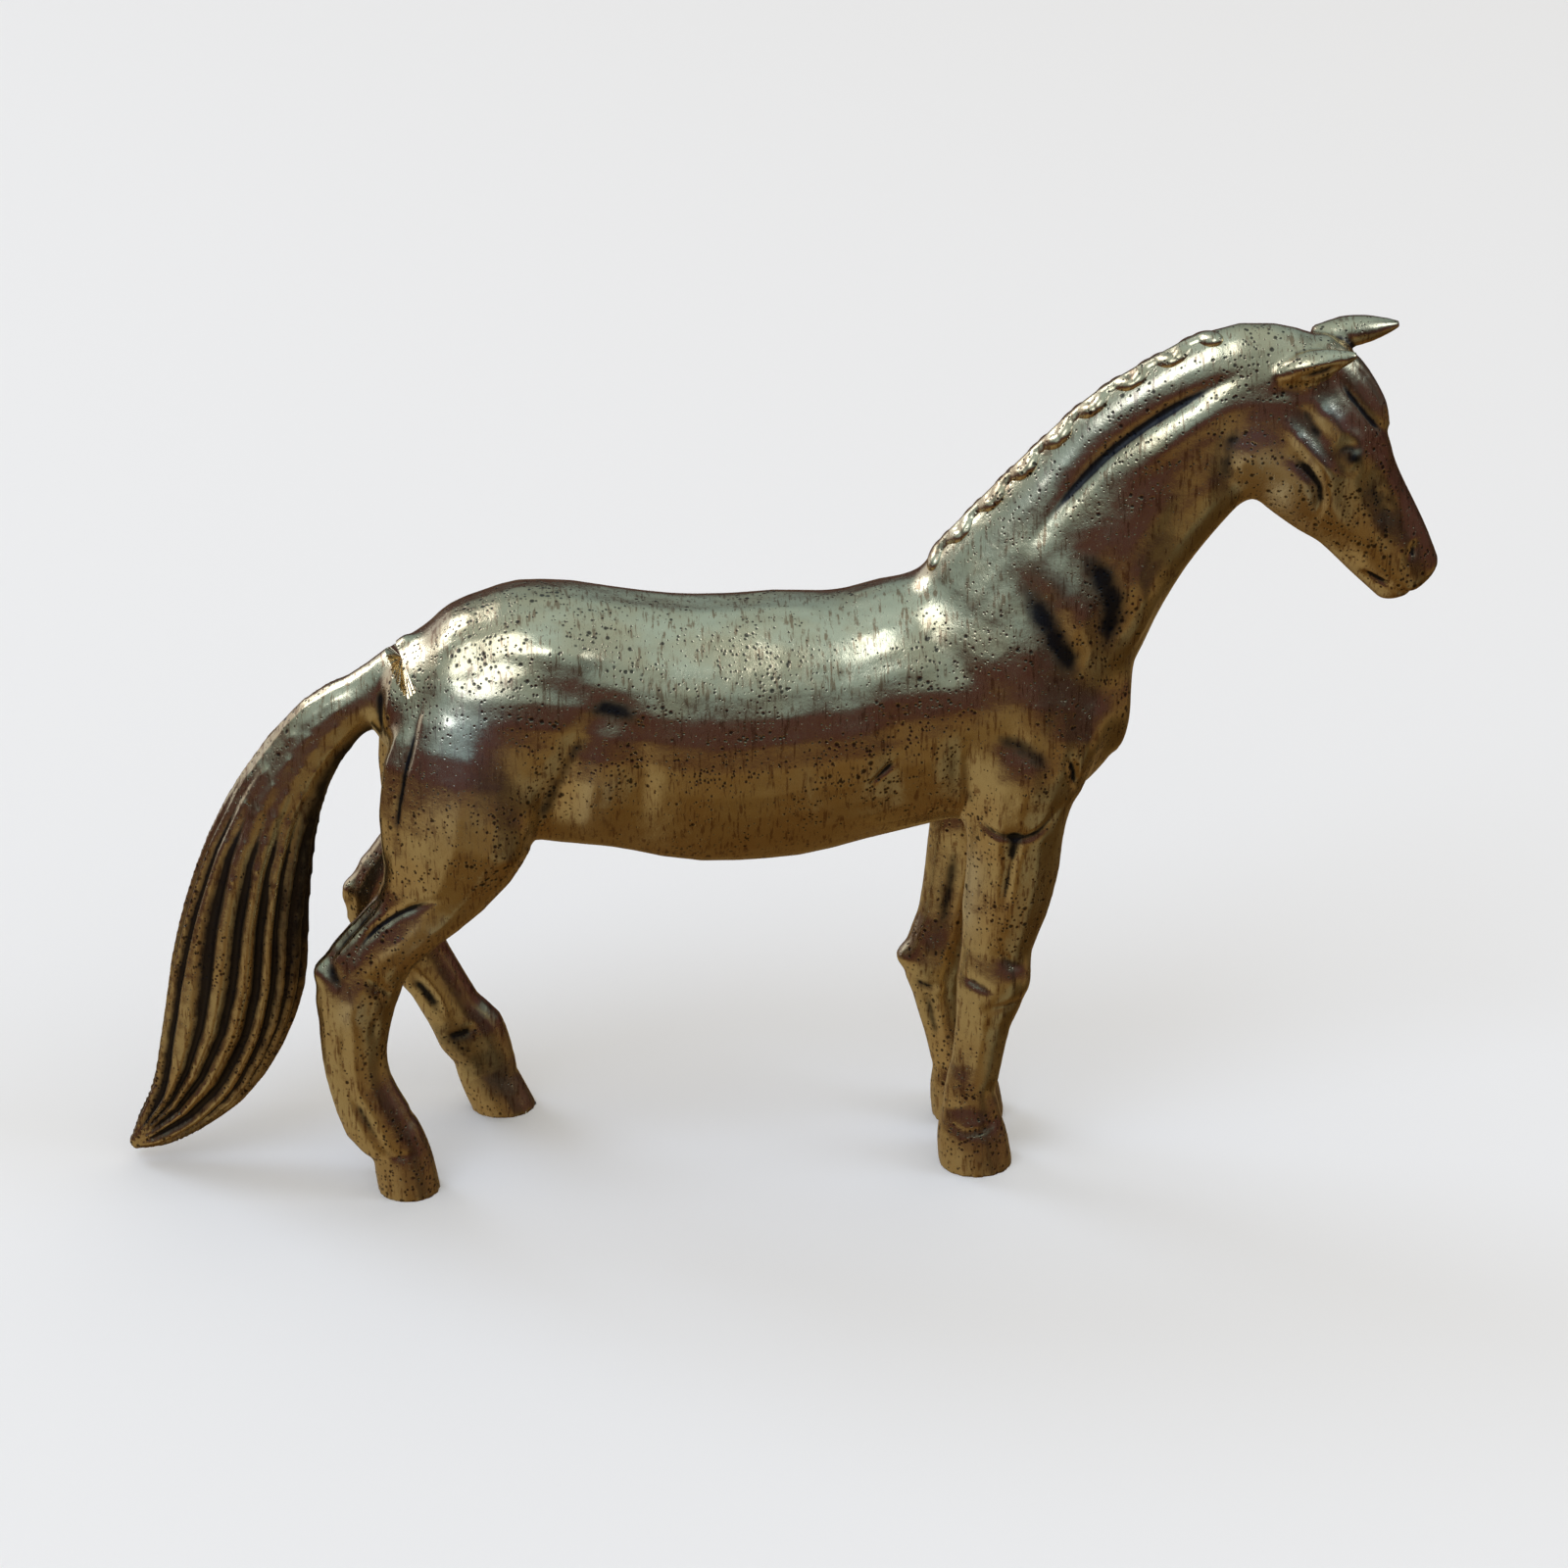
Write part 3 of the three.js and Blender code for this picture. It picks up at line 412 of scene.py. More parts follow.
def cast_surface():
    """The sections, swelled just enough to close the gaps between them, as one surface. Returns it
    with the swell, which is taken off again when its corners are softened."""
    swell = SWELL_SHARE * settings().braze_gap
    joined = bmesh.new()
    for node in SKIN_NODES:
        bm = merged_copy(node)
        mesh = bpy.data.meshes.new("section")
        bm.to_mesh(mesh)
        bm.free()
        write_coords(mesh, coords(mesh) + swell * normals(mesh))
        joined.from_mesh(mesh)
        bpy.data.meshes.remove(mesh)
    mesh = bpy.data.meshes.new("skin")
    joined.to_mesh(mesh)
    joined.free()
    obj = new_object("skin", mesh)
    remesh = obj.modifiers.new("Remesh", "REMESH")
    remesh.mode = "VOXEL"
    remesh.voxel_size = settings().grain * 1
    baked(obj)
    keep_largest(obj.data)
    return obj, swell


def keep_largest(mesh):
    """Removes the closed-off hollows round the tenons, which nobody sees."""
    pairs = edges(mesh)
    label = np.arange(len(mesh.vertices))
    while True:
        low = np.minimum(label[pairs[:, 0]], label[pairs[:, 1]])
        new = label.copy()
        np.minimum.at(new, pairs[:, 0], low)
        np.minimum.at(new, pairs[:, 1], low)
        new = new[new]
        if np.array_equal(new, label):
            break
        label = new
    largest = np.bincount(label).argmax()
    bm = bmesh.new()
    bm.from_mesh(mesh)
    bm.verts.ensure_lookup_table()
    bmesh.ops.delete(bm, geom=[bm.verts[i] for i in np.flatnonzero(label != largest)], context="VERTS")
    bm.to_mesh(mesh)
    bm.free()


def nearest_node(points, nodes):
    """For each point, the index in nodes of the solid whose surface is nearest."""
    best = np.full(len(points), np.inf)
    label = np.zeros(len(points), int)
    for index, node in enumerate(nodes):
        low, high = (np.array(corner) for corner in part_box(node))
        margin = 0.75 * SEARCH
        close = np.flatnonzero(((points > low - margin) & (points < high + margin)).all(1))
        bm = merged_copy(node)
        tree = BVHTree.FromBMesh(bm)
        bm.free()
        for i in close:
            distance = tree.find_nearest(points[i], SEARCH)[3]
            if distance is not None and distance < best[i]:
                best[i] = distance
                label[i] = index
    return label


def fine_line(tree, line, step=0.1):
    """A stroke's smooth line in small steps on the surface, and how strong it is at each step:
    full along the middle, and fading over three tenths of the line at each end."""
    given = np.array(line, float)
    padded = np.vstack([2 * given[0] - given[1], given, 2 * given[-1] - given[-2]])
    points = []
    for p0, p1, p2, p3 in zip(padded, padded[1:], padded[2:], padded[3:]):
        count = max(2, round(np.linalg.norm(p2 - p1) / step))
        for t in np.arange(count) / count:
            bend = (2 * p0 - 5 * p1 + 4 * p2 - p3) * t**2 + (3 * p1 - p0 - 3 * p2 + p3) * t**3
            points.append(p1 + 0.5 * ((p2 - p0) * t + bend))
    points = np.array([tree.find_nearest(Vector(p) * MM)[0] for p in points])
    t = np.linspace(0, 1, len(points))
    return points, np.minimum(1, np.minimum(t, 1 - t) / 0.3) ** 0.8


def stroke(co, tree, line, half_width):
    """How strongly each vertex feels a stroke, 1 at most: its whole width, and its narrow heart."""
    points, strengths = fine_line(tree, line)
    reach = 2.4 * half_width * MM
    close = np.flatnonzero(((co > points.min(0) - reach) & (co < points.max(0) + reach)).all(1))
    swell, heart = np.zeros(len(co)), np.zeros(len(co))
    for point, strength in zip(points, strengths):
        squared = ((co[close] - point) ** 2).sum(1) / (half_width * MM) ** 2
        swell[close] = np.maximum(swell[close], strength * np.exp(-squared))
        inner = np.exp(-squared / (0.35 + 0.45 * strength) ** 2)
        heart[close] = np.maximum(heart[close], strength * inner)
    return swell, heart


def mirrored(line):
    return [(x, -y, z) for x, y, z in line]


def model_details(obj, smooth_normals):
    """Cuts the grooves and raises the ridges. Returns each vertex's patina with its painted shade, and its
    rub with its painted highlight.
    """
    co = coords(obj.data)
    patina_and_shade, rub_and_highlight = np.zeros(len(co)), np.zeros(len(co))
    tree = BVHTree.FromObject(obj, bpy.context.evaluated_depsgraph_get())
    strokes = list(ONE_SIDE)
    for name, depth, half_width, dark, line in BOTH_SIDES:
        strokes.append((name, depth, half_width, dark, line))
        if any(y for _, y, _ in line):
            strokes.append((name, depth, half_width, dark, mirrored(line)))
    lift = np.zeros(len(co))
    for _, depth, half_width, dark, line in strokes:
        swell, heart = stroke(co, tree, line, half_width)
        lift -= depth * MM * settings().crease_depth * swell
        # patina and painted shade at each stroke's heart; below zero, rub and painted highlight over its
        # width
        patina_and_shade = np.maximum(patina_and_shade, dark * heart)
        rub_and_highlight = np.maximum(rub_and_highlight, -dark * swell)
    return co + lift[:, None] * smooth_normals, patina_and_shade, rub_and_highlight


def tail_place(co):
    """How far down the tail each vertex is, and its angle round it from the horse's left."""
    line = np.array([(x, 0, z) for x, z in TAIL_LINE]) * MM
    pieces = [np.linspace(a, b, TAIL_STEPS, endpoint=False) for a, b in zip(line, line[1:])]
    fine = np.concatenate(pieces)
    tangent = np.gradient(fine, axis=0)
    tangent /= np.linalg.norm(tangent, axis=1)[:, None]
    squared = np.full(len(co), np.inf)
    index = np.zeros(len(co), int)
    for i, point in enumerate(fine):
        off = ((co[:, [0, 2]] - point[[0, 2]]) ** 2).sum(1)
        closer = off < squared
        squared[closer] = off[closer]
        index[closer] = i
    dorsal = np.stack([-tangent[:, 2], 0 * tangent[:, 0], tangent[:, 0]], 1)[index]
    up = -np.einsum("ij,ij->i", co - fine[index], dorsal)
    out = co[:, 1]
    length = TAIL_STEPS // 2  # of a short stretch, over which the depth and width are taken
    stretch = np.minimum(index // length, len(fine) // length - 1)
    middle = (np.arange(stretch.max() + 1) + 0.5) * length
    deep, wide = (
        np.interp(index, middle, [np.abs(off[stretch == i]).max(initial=MM) for i in range(len(middle))])
        for off in (up, out)
    )
    return index / len(fine), np.arctan2(up / deep, out / wide)


def flute_tail(co, smooth_normals, on_tail, patina_and_shade):
    """Cuts the tail's locks: rounded ridges with narrow dark valleys. They start below the dock,
    wander a little, and die out at the tip. The side towards the legs gets painted shade."""
    along, angle = tail_place(co[on_tail])
    wander = 0.22 * np.sin(5 * along + 2 * np.cos(2 * angle))
    valley = (0.5 - 0.5 * np.cos(TAIL_FLUTES * (angle + wander * along))) ** 1.4
    strength = np.clip((along - 0.22) / 0.2, 0, 1) * np.clip((1 - along) / 0.12, 0.25, 1)
    # inner: painted shade on the tail's side towards the legs, where the body shades it
    inner = np.clip((-np.sin(angle) - 0.3) / 0.5, 0, 1) * np.clip((0.75 - along) / 0.3, 0, 1)
    co[on_tail] -= (settings().flute_depth * valley * strength)[:, None] * smooth_normals[on_tail]
    patina_and_shade[on_tail] = np.maximum.reduce([patina_and_shade[on_tail], valley**0.8 * strength, 0.8 * inner])
    return co, patina_and_shade


def hollows(co, near, mesh, rounds):
    """How many millimetres each vertex lies below its surroundings, above zero in a hollow."""
    wide = co
    for _ in range(rounds):
        wide = near.mean(wide)
    return np.einsum("ij,ij->i", wide - co, normals(mesh)) / MM


def make_skin():
    """The finished surface of the whole horse, with its patina and painted shade, hollows, and rub and
    painted highlight as vertex values.
    """
    obj, swell = cast_surface()
    mesh = obj.data
    near = Neighbours(len(mesh.vertices), edges(mesh))
    co = coords(mesh)
    label = nearest_node(co, SKIN_NODES)
    crisp = [i for i, node in enumerate(SKIN_NODES) if "hoof" in node or "ear" in node]
    body = ~np.isin(label, crisp)
    amount = np.where(body, SOFT_BODY, SOFT_CRISP)
    co = soften(co, near, FIRST_SOFTENING, amount)
    co = fill_hollows(co, near, mesh, FILLING_ROUNDS, np.where(body, FILLING, 0.0))
    co = soften(co, near, SECOND_SOFTENING, amount)
    write_coords(mesh, co)
    co = co - swell * normals(mesh)
    write_coords(mesh, co)
    smooth_normals = normals(mesh)
    for _ in range(NORMAL_ROUNDS):
        smooth_normals = near.mean(smooth_normals)
    smooth_normals /= np.linalg.norm(smooth_normals, axis=1)[:, None]
    co, patina_and_shade, rub_and_highlight = model_details(obj, smooth_normals)
    on_tail = np.flatnonzero(label == SKIN_NODES.index("tail"))
    co, patina_and_shade = flute_tail(co, smooth_normals, on_tail, patina_and_shade)
    co = soften(co, near, LAST_SOFTENING, np.full(len(co), SOFT_LAST))
    co[:, 2] = np.where(co[:, 2] < SOLE_SNAP, 0, co[:, 2])
    write_coords(mesh, co)
    for _ in range(PATINA_AND_SHADE_ROUNDS):
        patina_and_shade = near.mean(patina_and_shade)
    hollow = hollows(co, near, mesh, HOLLOW_ROUNDS)
    for name, values in (("patina_and_shade", patina_and_shade), ("hollow", hollow), ("rub_and_highlight", rub_and_highlight)):
        mesh.attributes.new(name, "FLOAT", "POINT").data.foreach_set("value", values)
    part_skin(obj)
    return obj


def part_skin(obj):
    """Cuts the surface along every joint, and marks each face with its section."""
    bm = bmesh.new()
    bm.from_mesh(obj.data)
    planes = {}
    for node, (_, leaves) in SEATS.items():
        at, normal = joint_plane(node, leaves)
        planes[node] = (at, normal)
        reach = joint_reach(node)
        faces = [f for f in bm.faces if (f.verts[0].co - at).length < reach]
        near_by = set(faces) | {e for f in faces for e in f.edges} | {v for f in faces for v in f.verts}
        bmesh.ops.bisect_plane(bm, geom=list(near_by), plane_co=at, plane_no=normal, dist=1e-8)
    bm.to_mesh(obj.data)
    bm.free()
    mesh = obj.data
    centres = np.empty(len(mesh.polygons) * 3)
    mesh.polygons.foreach_get("center", centres)
    centres = centres.reshape(-1, 3)
    label = nearest_node(centres, SKIN_NODES)
    for node, (seat, _) in SEATS.items():
        at, normal = (np.array(v) for v in planes[node])
        inner, outer = SKIN_NODES.index(seat), SKIN_NODES.index(node)
        side = (centres - at) @ normal
        here = (np.linalg.norm(centres - at, axis=1) < joint_reach(node)) & np.isin(label, [inner, outer])
        blurred = here & (np.abs(side) < BLURRED_SEAM * MM)
        label[blurred & (side > 0)] = outer
        label[blurred & (side <= 0)] = inner
    mesh.attributes.new("section", "INT", "FACE").data.foreach_set("value", label)


def joint_reach(node):
    return JOINT_REACH[node.split("_")[-1].replace("foreleg", "leg")] * MM


# What is made once and used by several operators: the skin, its normals and the materials.
_made = {}


def skin():
    if "skin" not in _made:
        _made["skin"] = make_skin()
    return _made["skin"]


def section_mesh(node):
    """The part of the skin that belongs to a node, closed where it is seated."""
    source = skin().data
    section = np.empty(len(source.polygons), int)
    source.attributes["section"].data.foreach_get("value", section)
    chosen = np.flatnonzero(section == SKIN_NODES.index(node))
    faces = [tuple(source.polygons[i].vertices) for i in chosen]
    used = np.unique(np.concatenate([np.array(f) for f in faces]))
    place = {old: new for new, old in enumerate(used)}
    mesh = bpy.data.meshes.new(node)
    mesh.from_pydata(coords(source)[used].tolist(), [], [[place[v] for v in f] for f in faces])
    for name in ("patina_and_shade", "hollow", "rub_and_highlight"):
        values = np.empty(len(source.vertices))
        source.attributes[name].data.foreach_get("value", values)
        mesh.attributes.new(name, "FLOAT", "POINT").data.foreach_set("value", values[used])
    bm = bmesh.new()
    bm.from_mesh(mesh)
    keep_one_body(bm)
    skin_faces = len(bm.faces)
    close_rims(bm)
    bm.to_mesh(mesh)
    bm.free()
    carry_normals(mesh, skin_faces)
    return mesh


def keep_one_body(bm):
    """Drops any specks that the sorting of faces left apart from the rest of the section."""
    unseen = set(bm.faces)
    bodies = []
    while unseen:
        stack = [unseen.pop()]
        body = list(stack)
        while stack:
            for edge in stack.pop().edges:
                for face in edge.link_faces:
                    if face in unseen:
                        unseen.discard(face)
                        stack.append(face)
                        body.append(face)
        bodies.append(body)
    bodies.sort(key=len)
    for body in bodies[:-1]:
        bmesh.ops.delete(bm, geom=body, context="FACES")


def close_rims(bm):
    """Closes each open rim with a fan of faces round its middle."""
    seeds = [e for e in bm.edges if e.is_boundary]
    left = set(seeds)
    for seed in seeds:
        if seed not in left:
            continue
        left.discard(seed)
        rim = [seed]
        for edge in rim:
            for vert in edge.verts:
                for following in vert.link_edges:
                    if following in left:
                        left.discard(following)
                        rim.append(following)
        corners = list(dict.fromkeys(v for edge in rim for v in edge.verts))
        middle = bm.verts.new(sum((v.co for v in corners), Vector()) / len(corners))
        for loop in [edge.link_loops[0] for edge in rim]:
            bm.faces.new((loop.link_loop_next.vert, loop.vert, middle))


def carry_normals(mesh, skin_faces):
    """Shades the section as the whole skin is shaded, so no step shows where two sections meet."""
    if "tree" not in _made:
        whole = skin().data
        tree = KDTree(len(whole.vertices))
        for i, point in enumerate(coords(whole)):
            tree.insert(point, i)
        tree.balance()
        _made["tree"] = tree
        _made["normals"] = normals(whole)
    at = np.array([_made["tree"].find(p)[1] for p in coords(mesh)])
    vertex_normals = _made["normals"][at]
    loops = np.empty(len(mesh.loops), int)
    mesh.loops.foreach_get("vertex_index", loops)
    loop_normals = vertex_normals[loops]
    for polygon in mesh.polygons:
        polygon.use_smooth = True
        if polygon.index >= skin_faces:
            loop_normals[list(polygon.loop_indices)] = polygon.normal
    mesh.normals_split_custom_set(loop_normals.tolist())


def finish_piece(obj, node, slot):
    """Gives the piece its metal, and puts it in its solid's place."""
    obj.data.materials.clear()
    obj.data.materials.append(brass(slot))
    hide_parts(node)
    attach(obj, "root")


def add_sections(nodes, slot):
    for node in nodes:
        finish_piece(new_object("cast_" + node, section_mesh(node)), node, slot)


# ---------------------------------------------------------------------------
# Materials
# ---------------------------------------------------------------------------


class Nodes:
    """Short calls for building a node tree."""

    def __init__(self, tree):
        self.tree = tree
        tree.nodes.clear()

    def add(self, kind, **values):
        node = self.tree.nodes.new(kind)
        for name, value in values.items():
            setattr(node, name, value)
        return node

    def link(self, source, target):
        self.tree.links.new(source, target)

    def math(self, operation, a, b=0.0, clamp=False):
        node = self.add("ShaderNodeMath", operation=operation, use_clamp=clamp)
        for socket, value in zip(node.inputs, (a, b)):
            if isinstance(value, (int, float)):
                socket.default_value = value
            else:
                self.link(value, socket)
        return node.outputs[0]

    def mix(self, factor, a, b):
        node = self.add("ShaderNodeMix", data_type="RGBA")
        for socket, value in ((node.inputs[0], factor), (node.inputs[6], a), (node.inputs[7], b)):
            if isinstance(value, (int, float)):
                socket.default_value = value
            elif isinstance(value, tuple):
                socket.default_value = (*value, 1)
            else:
                self.link(value, socket)
        return node.outputs[2]

    def noise(self, vector, per_mm, detail=3.0, roughness=0.5):
        node = self.add("ShaderNodeTexNoise")
        node.inputs["Scale"].default_value = per_mm / MM
        node.inputs["Detail"].default_value = detail
        node.inputs["Roughness"].default_value = roughness
        self.link(vector, node.inputs["Vector"])
        return node.outputs["Fac"]

    def span(self, value, low, high, to_low=0.0, to_high=1.0):
        node = self.add("ShaderNodeMapRange", interpolation_type="SMOOTHSTEP")
        for socket, number in zip(node.inputs[1:5], (low, high, to_low, to_high)):
            socket.default_value = number
        self.link(value, node.inputs[0])
        return node.outputs[0]

    def stretched(self, vector, turn, scale):
        node = self.add("ShaderNodeMapping")
        node.inputs["Rotation"].default_value = turn
        node.inputs["Scale"].default_value = scale
        self.link(vector, node.inputs["Vector"])
        return node.outputs[0]

    def attribute(self, name):
        return self.add("ShaderNodeAttribute", attribute_name=name).outputs["Fac"]


PIT_COLOUR = (0.03, 0.022, 0.02)


def brass_material(name, tint, dullness):
    """Cast brass: bright on the swells, where rubbing and a painted highlight lie together; brown where
    hands don't rub; near black in the creases, with patina there and painted shade in places.
    A tint of 1 is the full brass, and less is browner."""
    s = settings()
    brass, warm, tarnished, rubbed_highlight, patina_and_shade = (
        tuple(colour)
        for colour in (s.brass_colour, s.warm_colour, s.tarnish_colour, s.rub_and_highlight_colour, s.patina_and_shade_colour)
    )
    material = bpy.data.materials.new(name)
    material.use_nodes = True
    n = Nodes(material.node_tree)
    output = n.add("ShaderNodeOutputMaterial")
    shader = n.add("ShaderNodeBsdfPrincipled")
    n.link(shader.outputs[0], output.inputs[0])
    place = n.add("ShaderNodeTexCoord").outputs["Object"]

    cloud = n.noise(place, 0.2, 4, 0.6)
    mottle = n.noise(place, 1.3, 5, 0.65)
    grain = n.noise(place, 6.0, 3, 0.6)
    hollow = n.span(n.attribute("hollow"), 0.015, 0.13)
    swell = n.span(n.attribute("hollow"), -0.01, -0.08)

    # Patina where the polishing never reached, and painted shade from the shade strokes and the tail's
    # inner side, with a ragged edge.
    ragged = n.math("MULTIPLY", n.math("SUBTRACT", mottle, 0.5), 0.5)
    deep = n.math("ADD", n.attribute("patina_and_shade"), n.math("MULTIPLY", hollow, 0.55))
    dark = n.span(n.math("ADD", deep, n.math("MULTIPLY", ragged, n.span(deep, 0.05, 0.4))), 0.22, 0.85)

    # Casting pits, scattered and of many sizes.
    pits = []
    crowding = n.span(cloud, 0.38, 0.6, 0.35, 1.0)
    for per_mm, low, largest in ((2.2, 0.33, 0.42), (4.4, 0.24, 0.56)):
        cells = n.add("ShaderNodeTexVoronoi", feature="F1")
        cells.inputs["Scale"].default_value = per_mm / MM
        n.link(place, cells.inputs["Vector"])
        size = n.math("MULTIPLY", n.span(cells.outputs["Color"], low, 0.85, 0.0, largest), crowding)
        depth = n.math("DIVIDE", cells.outputs["Distance"], n.math("ADD", size, 0.001))
        pits.append(n.math("SUBTRACT", 1.0, depth, clamp=True))
    pit = n.math("MAXIMUM", *pits)
    pit_dark = n.span(pit, 0.05, 0.5)

    # Scratches from the brush, nearly upright, and slanting scuffs.
    strokes = n.noise(n.stretched(place, (0, 0.14, 0), (1.0, 0.13, 0.13)), 6.5, 3, 0.6)
    scuffs = n.noise(n.stretched(place, (0, 0.9, 0.3), (1.0, 0.2, 0.12)), 5.0, 2, 0.5)
    brushed = n.math("ADD", n.math("MULTIPLY", strokes, 0.6), n.math("MULTIPLY", scuffs, 0.4))

    # The colours, from the clean metal up.
    scratch = n.math("MULTIPLY", n.span(brushed, 0.51, 0.59), n.span(mottle, 0.4, 0.54))
    tarnish = n.span(n.math("ADD", mottle, n.math("MULTIPLY", swell, -0.2)), 0.5, 0.8)
    colour = n.mix(n.span(cloud, 0.38, 0.62), brass, warm)
    for cover, share, layer in (
        (tarnish, 0.35 + 0.35 * dullness, tarnished),
        (scratch, 0.95, tarnished),
        # the rubbed colour on the swells is wear and a painted highlight
        (n.attribute("rub_and_highlight"), 0.9, rubbed_highlight),
        (pit_dark, 0.85, PIT_COLOUR),
        # patina in the creases, and painted shade where the shade strokes lie
        (dark, 0.96, patina_and_shade),
    ):
        colour = n.mix(n.math("MULTIPLY", cover, share), colour, layer)
    if tint != 1:
        colour = n.mix(1 - tint, colour, tarnished)
    n.link(colour, shader.inputs["Base Color"])
    shader.inputs["Metallic"].default_value = 1.0

    # Dull where it is tarnished or dark.
    rough = n.math("ADD", s.polish + 0.08 * dullness, n.math("MULTIPLY", tarnish, 0.1))
    rough = n.math("ADD", rough, n.math("MULTIPLY", dark, 0.22))
    rough = n.math("ADD", rough, n.math("MULTIPLY", n.math("SUBTRACT", brushed, 0.5), 0.2))
    n.link(n.math("MAXIMUM", rough, 0.08), shader.inputs["Roughness"])

    # Hand-filed waves, mottle, grain, scratches and pits, each with its height in millimetres.
    height = n.math("MULTIPLY", n.noise(place, 0.32, 2, 0.5), 0.12)
    for relief, tall in ((mottle, 0.026), (grain, 0.004), (brushed, 0.004), (pit, -0.025)):
        height = n.math("ADD", height, n.math("MULTIPLY", relief, tall))
    bump = n.add("ShaderNodeBump")
    bump.inputs["Strength"].default_value = 1.0
    bump.inputs["Distance"].default_value = MM
    n.link(height, bump.inputs["Height"])
    n.link(bump.outputs[0], shader.inputs["Normal"])
    return material


# ---------------------------------------------------------------------------
# The plaited mane
# ---------------------------------------------------------------------------


CREST_POINTS = 25
LOBE_SHAPE = (1.15, 2.1, 0.85)  # along, across and up, in lobe sizes
LOBE_LEAN = 38  # degrees from the line of the crest
MANE_GRAIN = 0.09 * MM


def crest_line():
    """Points along the crest of the neck, on its surface, from the withers to the poll."""
    low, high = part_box("plaited_mane")
    tree = BVHTree.FromObject(skin(), bpy.context.evaluated_depsgraph_get())
    inset = 0.6 * MM
    points = []
    for i in range(CREST_POINTS):
        x = low.x + inset + (high.x - low.x - 2 * inset) * i / (CREST_POINTS - 1)
        points.append(tree.ray_cast(Vector((x, 0, high.z + 5 * MM)), Vector((0, 0, -1)))[0])
    return points


def plait_tree(material):
    """Lobes set along a line, leaning left and right in turn, on a cord that joins them."""
    tree = bpy.data.node_groups.new("Plaits", "GeometryNodeTree")
    face = tree.interface
    face.new_socket("Line", in_out="INPUT", socket_type="NodeSocketGeometry")
    count = face.new_socket("Lobes", in_out="INPUT", socket_type="NodeSocketInt")
    size = face.new_socket("Lobe size", in_out="INPUT", socket_type="NodeSocketFloat")
    lean = face.new_socket("Lean", in_out="INPUT", socket_type="NodeSocketFloat")
    face.new_socket("Plaits", in_out="OUTPUT", socket_type="NodeSocketGeometry")
    n = Nodes(tree)
    given = n.add("NodeGroupInput")
    result = n.add("NodeGroupOutput")
    curve = n.add("GeometryNodeMeshToCurve")
    n.link(given.outputs["Line"], curve.inputs[0])
    even = n.add("GeometryNodeResampleCurve", mode="COUNT")
    n.link(curve.outputs[0], even.inputs["Curve"])
    n.link(given.outputs["Lobes"], even.inputs["Count"])
    tangent = n.add("GeometryNodeInputTangent")
    along = n.add("FunctionNodeAlignRotationToVector", axis="X")
    n.link(tangent.outputs[0], along.inputs["Vector"])
    index = n.add("GeometryNodeInputIndex")
    odd = n.math("MODULO", index.outputs[0], 2.0)
    side = n.math("SUBTRACT", n.math("MULTIPLY", odd, 2.0), 1.0)
    turn = n.add("ShaderNodeCombineXYZ")
    n.link(n.math("MULTIPLY", side, given.outputs["Lean"]), turn.inputs["Z"])
    turned = n.add("FunctionNodeRotateRotation", rotation_space="LOCAL")
    euler = n.add("FunctionNodeEulerToRotation")
    n.link(turn.outputs[0], euler.inputs[0])
    n.link(along.outputs[0], turned.inputs["Rotation"])
    n.link(euler.outputs[0], turned.inputs["Rotate By"])
    lobe = n.add("GeometryNodeMeshUVSphere")
    lobe.inputs["Segments"].default_value = 20
    lobe.inputs["Rings"].default_value = 12
    n.link(given.outputs["Lobe size"], lobe.inputs["Radius"])
    flat = n.add("GeometryNodeTransform")
    flat.inputs["Scale"].default_value = LOBE_SHAPE
    n.link(lobe.outputs["Mesh"], flat.inputs["Geometry"])
    placed = n.add("GeometryNodeInstanceOnPoints")
    n.link(even.outputs[0], placed.inputs["Points"])
    n.link(flat.outputs[0], placed.inputs["Instance"])
    n.link(turned.outputs[0], placed.inputs["Rotation"])
    cord = n.add("GeometryNodeCurveToMesh")
    ring = n.add("GeometryNodeCurvePrimitiveCircle")
    ring.inputs["Resolution"].default_value = 16
    n.link(n.math("MULTIPLY", given.outputs["Lobe size"], 0.9), ring.inputs["Radius"])
    n.link(even.outputs[0], cord.inputs["Curve"])
    n.link(ring.outputs[0], cord.inputs["Profile Curve"])
    cord.inputs["Fill Caps"].default_value = True
    both = n.add("GeometryNodeJoinGeometry")
    n.link(cord.outputs[0], both.inputs[0])
    n.link(placed.outputs[0], both.inputs[0])
    solid = n.add("GeometryNodeRealizeInstances")
    n.link(both.outputs[0], solid.inputs[0])
    coat = n.add("GeometryNodeSetMaterial")
    coat.inputs["Material"].default_value = material
    n.link(solid.outputs[0], coat.inputs[0])
    n.link(coat.outputs[0], result.inputs[0])
    return tree, {"count": count.identifier, "size": size.identifier, "lean": lean.identifier}


